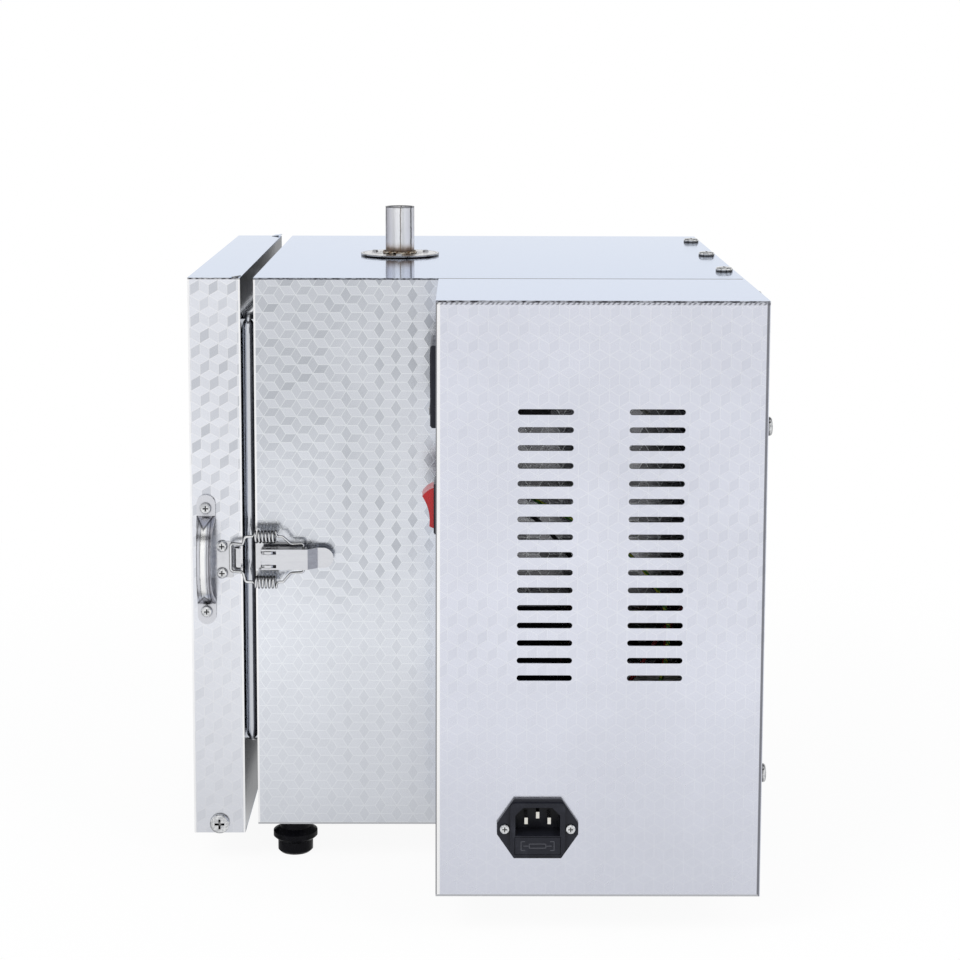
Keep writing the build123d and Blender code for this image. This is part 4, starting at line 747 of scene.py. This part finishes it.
bead, lumps = 0.0015, 0.0009
pick_out()
bpy.ops.mesh.primitive_torus_add(location=(*pipe_axis, flange_high[2] + 0.0003), major_segments=64,
                                 minor_segments=8, major_radius=pipe_radius + 0.0006, minor_radius=bead)
weld = bpy.context.object
weld.name = "chimney_weld"
bpy.ops.object.mode_set(mode="EDIT")
bpy.ops.transform.vertex_random(offset=lumps, uniform=0.4, normal=0.6, seed=7)
bpy.ops.object.mode_set(mode="OBJECT")
finish_shape(weld, "SUBSURF", levels=1, render_levels=1)
bpy.ops.object.shade_smooth()
settle(weld, "furnace", weld_steel)


# Control box
# A folded box of the same sheet, its cubes nearly flat, with two columns of slots and a screwed back cover.
# The fold under its top was dressed with a file.
box_steel = pressed_steel(
    "box_steel", upright_cubes, 0.0120, 0.0208, (0.74, 0.76, 0.85), "Lower", "Upper", 0.09, 0.27,
    ((0.0, 0.90), (0.10, 0.96), (0.40, 1.01)), rough=0.20, uprights=(side_low[0] + 0.0014,),
    seams=(side_low[0], side_high[0]), filed=side_high[2] - 0.0016)
dress(box_steel, "control_side_panel", "control_front_panel", "control_back_cover")


# Temperature controller
# A black panel meter, clipped into the front of the box, with a window and four keys.
# The window is dark gloss plastic with a little dust, and the keys are grey rubber.
window, tree, shader = new_finish("gloss_black", (0.008, 0.008, 0.010), roughness=0.06)
dust = noise(tree, place_in(tree), 500.0, 4.0)
tree.links.new(ease(tree, dust, 0.3, 0.9, 0.04, 0.14), shader.inputs["Roughness"])
dress(window, "controller_window")

key_rubber = mottled("key_grey", (0.20, 0.21, 0.23), 0.55, 1800.0, 3.0,
                     ((0.17, 0.18, 0.20), (0.25, 0.26, 0.28)), 0.00006)
dress(key_rubber, "key_set", "key_shift", "key_down", "key_up")


# Digits in the display
# Two rows of four seven-segment digits, moulded in the dark window.
# They are unlit and a shade lighter than the window.
def bar_at(name, place, size, bevel):
    """A small bar with bevelled edges."""
    pick_out()
    bpy.ops.mesh.primitive_cube_add(size=1.0, location=place)
    made = bpy.context.object
    made.name = name
    made.scale = size
    bpy.ops.object.transform_apply(location=False, rotation=False, scale=True)
    finish_shape(made, "BEVEL", width=bevel, segments=2)
    return made


def join_as(name, pieces):
    """One piece from several."""
    pick_out(*pieces)
    bpy.ops.object.join()
    pieces[0].name = name
    return pieces[0]


unlit = mottled("unlit_segment", (0.060, 0.020, 0.018), 0.25, 900.0, 3.0,
                ((0.045, 0.014, 0.012), (0.080, 0.030, 0.026)))
glass_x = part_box("controller_window")[0][0]
glass_middle = middle_of("controller_window")
pitch, stroke, thick, bevel = 0.0092, 0.0007, 0.00012, 0.00004
segments = []
for rise, tall in ((0.0048, 0.0082), (-0.0058, 0.0064)):
    wide = tall * 0.56
    z = glass_middle[2] + rise
    for number in range(4):
        y = glass_middle[1] + (number - 1.5) * pitch
        for level in (-1, 0, 1):
            segments.append(bar_at("segment", (glass_x, y, z + level * tall / 2), (thick, wide * 0.8, stroke),
                                   bevel))
        for across in (-1, 1):
            for level in (-1, 1):
                segments.append(bar_at("segment", (glass_x, y + across * wide / 2, z + level * tall / 4),
                                       (thick, stroke, tall * 0.40), bevel))
settle(join_as("display_digits", segments), "furnace", unlit)


# Marks on the keys
# A ring on the set key and arrows on the other three.
# They are printed thick in pale ink, a little rubbed.
ink = mottled("pale_ink", (0.72, 0.73, 0.74), 0.5, 1500.0, 3.0, ((0.60, 0.61, 0.62), (0.80, 0.81, 0.82)))

for key, quarter in (("key_set", None), ("key_shift", 1), ("key_down", 2), ("key_up", 0)):
    place = (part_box(key)[0][0], *middle_of(key)[1:])
    pick_out()
    if quarter is None:
        bpy.ops.mesh.primitive_torus_add(location=place, rotation=(0.0, math.pi / 2, 0.0), major_segments=32,
                                         minor_segments=8, major_radius=0.0010, minor_radius=0.00016)
        mark = bpy.context.object
        finish_shape(mark, "SUBSURF", levels=1, render_levels=1)
    else:
        bpy.ops.mesh.primitive_cylinder_add(vertices=3, radius=0.0013, depth=0.00024, location=place,
                                            rotation=(quarter * math.pi / 2, -math.pi / 2, 0.0))
        mark = bpy.context.object
        finish_shape(mark, "BEVEL", width=0.00006, segments=2)
    mark.name = key + "_mark"
    settle(mark, key, ink)


# Rocker switch
# A red moulded rocker in a black housing, snapped into the front of the box.
# The red is deep and glossy; seen in reflections it is painted pale grey, so the dull sheet beside it mirrors
# it pale.
rocker_red, tree, shader = new_finish("rocker_red", (0.62, 0.012, 0.015), roughness=0.22)
depth = noise(tree, place_in(tree), 240.0, 4.0)
red = tint_between(tree, depth, (0.40, 0.006, 0.009), (0.56, 0.014, 0.018))
# Painted reflection: for glossy rays the red turns pale grey.
mirrored = calc(tree, "MULTIPLY", put(tree, "ShaderNodeLightPath").outputs["Is Glossy Ray"], 0.7)
coat(tree, shader, tint_between(tree, mirrored, red, (0.50, 0.50, 0.52)),
     ease(tree, depth, 0.3, 0.8, 0.16, 0.30))
dress(rocker_red, "switch_rocker")


# Marks on the rocker
# The usual bar and ring for on and off, on the two halves of the rocker.
# They are moulded in white plastic and stand a hair proud of the red.
white_mark = mottled("white_mark", (0.85, 0.85, 0.84), 0.4, 1200.0, 3.0,
                     ((0.78, 0.78, 0.77), (0.90, 0.90, 0.89)))
rocker_low, rocker_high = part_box("switch_rocker")
rocker_y = middle_of("switch_rocker")[1]
for name, share in (("rocker_bar_mark", 0.74), ("rocker_ring_mark", 0.28)):
    level = rocker_low[2] + share * (rocker_high[2] - rocker_low[2])
    in_front = Vector((rocker_low[0] - 0.02, rocker_y, level))
    spot, normal = node["switch_rocker"].ray_cast(in_front, Vector((1.0, 0.0, 0.0)))[1:3]
    if name == "rocker_bar_mark":
        mark = bar_at(name, (0.0, 0.0, 0.0), (0.0009, 0.0048, 0.00030), 0.00010)
    else:
        pick_out()
        bpy.ops.mesh.primitive_torus_add(major_segments=40, minor_segments=8, major_radius=0.0018,
                                         minor_radius=0.00036)
        mark = bpy.context.object
        mark.name = name
        mark.scale = (1.0, 1.3, 0.5)
        finish_shape(mark, "SUBSURF", levels=1, render_levels=1)
    turn = normal.to_track_quat("Z", "Y").to_matrix().to_4x4()
    mark.matrix_world = Matrix.Translation(spot) @ turn @ Matrix.Diagonal((*mark.scale, 1.0))
    settle(mark, "rocker", white_mark)


# Mains inlet, fuse and terminals
# A moulded inlet with three plated pins and a fuse drawer, and a nylon terminal block inside the box.
# The drawer carries the usual outline of a fuse, raised a hair in the moulding.
pins, tree, shader = new_finish("brass_pins", (0.80, 0.79, 0.74), 1.0, 0.2)
wipe = noise(tree, place_in(tree, (400.0, 40.0, 400.0)), 1.0, 3.0)
base = tint_between(tree, wipe, (0.70, 0.68, 0.60), (0.86, 0.85, 0.82))
# Painted shade darkens the pins down in the inlet's mouth and leaves their tips bright.
coat(tree, shader, painted_crevice_shade(tree, base, 0.006, 0.05), ease(tree, wipe, 0.2, 0.8, 0.14, 0.3))
dress(pins, "inlet_pins")

drawer_x, _, drawer_z = middle_of("fuse_drawer")
drawer_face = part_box("fuse_drawer")[0][1]
line, proud = 0.0005, 0.00024
symbol = []
for side in (-1, 1):
    for across, up, long, tall in ((0.0, 0.0013 * side, 0.0100, line), (0.0050, 0.0, line, 0.0031),
                                   (0.0068, 0.0, 0.0036, line), (0.0100, 0.0, line, 0.0056),
                                   (0.0088, 0.0028, 0.0024, line), (0.0088, -0.0028, 0.0024, line)):
        place = (drawer_x + across * side, drawer_face, drawer_z + up)
        symbol.append(bar_at("line", place, (long, proud, tall), 0.00005))
moulded = mottled("moulded_mark", (0.050, 0.052, 0.066), 0.3, 2200.0, 3.0,
                  ((0.038, 0.040, 0.052), (0.075, 0.078, 0.095)))
settle(join_as("fuse_symbol", symbol), "drawer", moulded)

fuse_glass, tree, shader = new_finish("fuse_glass", (0.90, 0.93, 0.93), roughness=0.05, Alpha=0.6)
smear = noise(tree, place_in(tree), 400.0, 3.0)
tree.links.new(ease(tree, smear, 0.3, 0.8, 0.03, 0.12), shader.inputs["Roughness"])
dress(fuse_glass, "fuse_link")

nylon = mottled("terminal_grey", (0.72, 0.71, 0.66), 0.5, 320.0, 4.0,
                ((0.66, 0.65, 0.60), (0.80, 0.79, 0.75)), 0.0001, 0.4)
dress(nylon, "terminal_block")


# Wires
# Stranded copper in soft sleeves, a little glossy, with dust on them.
# The earth wire is striped, and the others are dark red, black and cream.
def sleeve(name, colour, second=None):
    """Soft plastic insulation, striped where a second colour is given."""
    made, tree, shader = new_finish(name, colour, roughness=0.4)
    where = place_in(tree)
    dust = ease(tree, noise(tree, where, 160.0, 4.0), 0.4, 0.8)
    base = tint_between(tree, dust, colour, tuple(min(part * 1.25 + 0.02, 1.0) for part in colour))
    if second:
        stripes = put(tree, "ShaderNodeTexWave", {"Vector": where, "Scale": 160.0, "Distortion": 0.5},
                      bands_direction="DIAGONAL")
        base = tint_between(tree, ease(tree, stripes.outputs[1], 0.45, 0.55), base, second)
    coat(tree, shader, base, ease(tree, dust, 0.0, 1.0, 0.32, 0.55))
    return made


dress(sleeve("earth_insulation", (0.55, 0.58, 0.04), (0.08, 0.30, 0.06)), "earth_wire")
dress(sleeve("live_insulation", (0.30, 0.02, 0.02)), "live_wire")
dress(sleeve("black_insulation", (0.018, 0.018, 0.020)), "black_wires")
dress(sleeve("probe_insulation", (0.70, 0.69, 0.64)), "thermocouple_lead")


# Door
# A shallow box of pressed sheet with the cubes turned upright, folded at its corners with painted highlights
# on the folds, cut at the top.
# The liner behind it is brushed sheet with a raised frame.
door_low, door_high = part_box("door_shell")
door_steel = pressed_steel(
    "door_steel", upright_cubes, 0.0120, 0.0208, (0.825, 0.845, 0.905), "Lower", "Upper", 0.85, 0.40,
    ((0.0, 0.87), (0.10, 0.96), (0.40, 1.01)), mid=0.22, uprights=(door_low[0], door_high[0]),
    level=door_high[2] - 0.0012)
dress(door_steel, "door_shell")

liner_steel, tree, shader = new_finish("polished_steel", (0.62, 0.64, 0.68), 1.0, 0.14)
grain = noise(tree, place_in(tree, (900.0, 900.0, 40.0)), 1.0, 4.0)
coat(tree, shader, tint_between(tree, grain, (0.55, 0.57, 0.61), (0.70, 0.72, 0.76)),
     ease(tree, grain, 0.2, 0.8, 0.10, 0.22))
relief(tree, shader, grain, 0.00004, 0.4)
dress(liner_steel, "door_liner")


# Folded lugs of the door
# The side sheets' top rear corners are folded over the top sheet and hammered flat.
# They stand up a little and are of the door's own sheet.
lug_size, lug_bevel = (0.0062, 0.0072, 0.0008), 0.0002
for name, edge, inward in (("door_lug_near", door_low[1], 1), ("door_lug_far", door_high[1], -1)):
    place = (door_high[0] - 0.0034, edge + inward * 0.0040, door_high[2] + lug_size[2] / 2)
    lug = bar_at(name, place, lug_size, lug_bevel)
    lug.rotation_euler = (inward * math.radians(-5.0), math.radians(-7.0), inward * math.radians(18.0))
    settle(lug, "door", door_steel)


# Handle
# A bowed strap of polished steel with a crowned grip, painted with a bright highlight along the middle
# between dark lines of painted reflection.
# The bends under the two end plates are painted darker as shade, the strap's sides are painted as speckled
# shade, and shade is painted where it lies close to other parts.
handle_steel, tree, shader = new_finish("handle_steel", (0.66, 0.67, 0.70), 1.0, 0.14)
handle_low, handle_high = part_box("door_handle")
handle_x, _, handle_z = middle_of("door_handle")
half_flat, end_plate, bend_reach = 0.0044, 0.0140, 0.0064
side, _, height = place_parts(tree)
streaks = noise(tree, place_in(tree, (2200.0, 2200.0, 30.0)), 1.0, 3.0, 0.6)
across = calc(tree, "MULTIPLY_ADD", streaks, 0.0009, calc(tree, "SUBTRACT", side, handle_x))
across = calc(tree, "DIVIDE", across, half_flat)
from_middle = calc(tree, "ABSOLUTE", calc(tree, "SUBTRACT", height, handle_z))
bend = (handle_high[2] - handle_low[2]) / 2 - end_plate
inside = calc(tree, "DIVIDE", calc(tree, "SUBTRACT", bend, from_middle), bend_reach)
grip = ease(tree, inside, -0.05, 0.0)
base = tint_between(tree, streaks, (0.58, 0.59, 0.64), (0.80, 0.81, 0.85))
# Painted highlight along the grip's middle, with painted reflection lines across it.
strap = tint_between(tree, ease(tree, across, -0.50, -0.25), (0.62, 0.63, 0.68), (0.99, 0.99, 0.99))
strap = tint_between(tree, ease(tree, across, 0.25, 0.50), strap, (0.66, 0.67, 0.72))
strap = tint_between(tree, ease(tree, across, 0.72, 0.80), strap, (0.36, 0.36, 0.40))
for middle, tone in ((-0.86, 0.14), (-0.36, 0.20), (0.62, 0.16), (0.98, 0.05)):
    dark_line = line_at(tree, across, middle, 0.09, 0.03, 0.8)
    strap = tint_between(tree, dark_line, strap, (tone, tone, tone * 1.05))
# Painted shade in the bends under the end plates.
wedge = calc(tree, "ADD", inside, calc(tree, "MULTIPLY", calc(tree, "ABSOLUTE", across), 0.85))
strap = tint_between(tree, ease(tree, wedge, 1.34, 1.05, 0.0, 0.85), strap, (0.05, 0.05, 0.06))
strap = tint_between(tree, ease(tree, wedge, 0.98, 0.90), strap, (0.50, 0.50, 0.55))
base = tint_between(tree, grip, base, strap)
speckle = noise(tree, place_in(tree, (500.0, 500.0, 300.0)), 1.0, 4.0, 0.7, 1.2)
# Painted shade on the strap's sides, speckled.
painted_side_shade = tint_between(tree, ease(tree, speckle, 0.42, 0.58), (0.16, 0.16, 0.18), (0.62, 0.62, 0.66))
edge_on = calc(tree, "GREATER_THAN", calc(tree, "ABSOLUTE", facing(tree)[0]), 0.7)
base = tint_between(tree, edge_on, base, painted_side_shade)
coat(tree, shader, painted_crevice_shade(tree, base, 0.003, 0.08), ease(tree, streaks, 0.3, 0.7, 0.20, 0.34))
dress(handle_steel, "door_handle")


# Latch springs and bail
# Plain spring wire, close wound, its legs run back along the lever, and the wire bail that they pull.
# The wire is a little rubbed; its faces that look front and back are painted light, its flanks are painted
# dark as shade, and shade is painted between the coils.
spring_steel, tree, shader = new_finish("spring_steel", (0.55, 0.56, 0.58), 1.0, 0.16)
wipe = noise(tree, place_in(tree), 900.0, 3.0)
# Painted light and shade by the way the wire faces.
painted_lit_side = ease(tree, calc(tree, "ABSOLUTE", facing(tree, "Normal")[1]), 0.50, 0.86)
base = tint_between(tree, wipe, (0.72, 0.73, 0.75), (0.86, 0.87, 0.88))
base = tint_between(tree, painted_lit_side, (0.035, 0.035, 0.04), base)
coat(tree, shader, painted_crevice_shade(tree, base, 0.0030, 0.02), ease(tree, wipe, 0.2, 0.8, 0.10, 0.24))
dress(spring_steel, "latch_springs", "latch_bail")
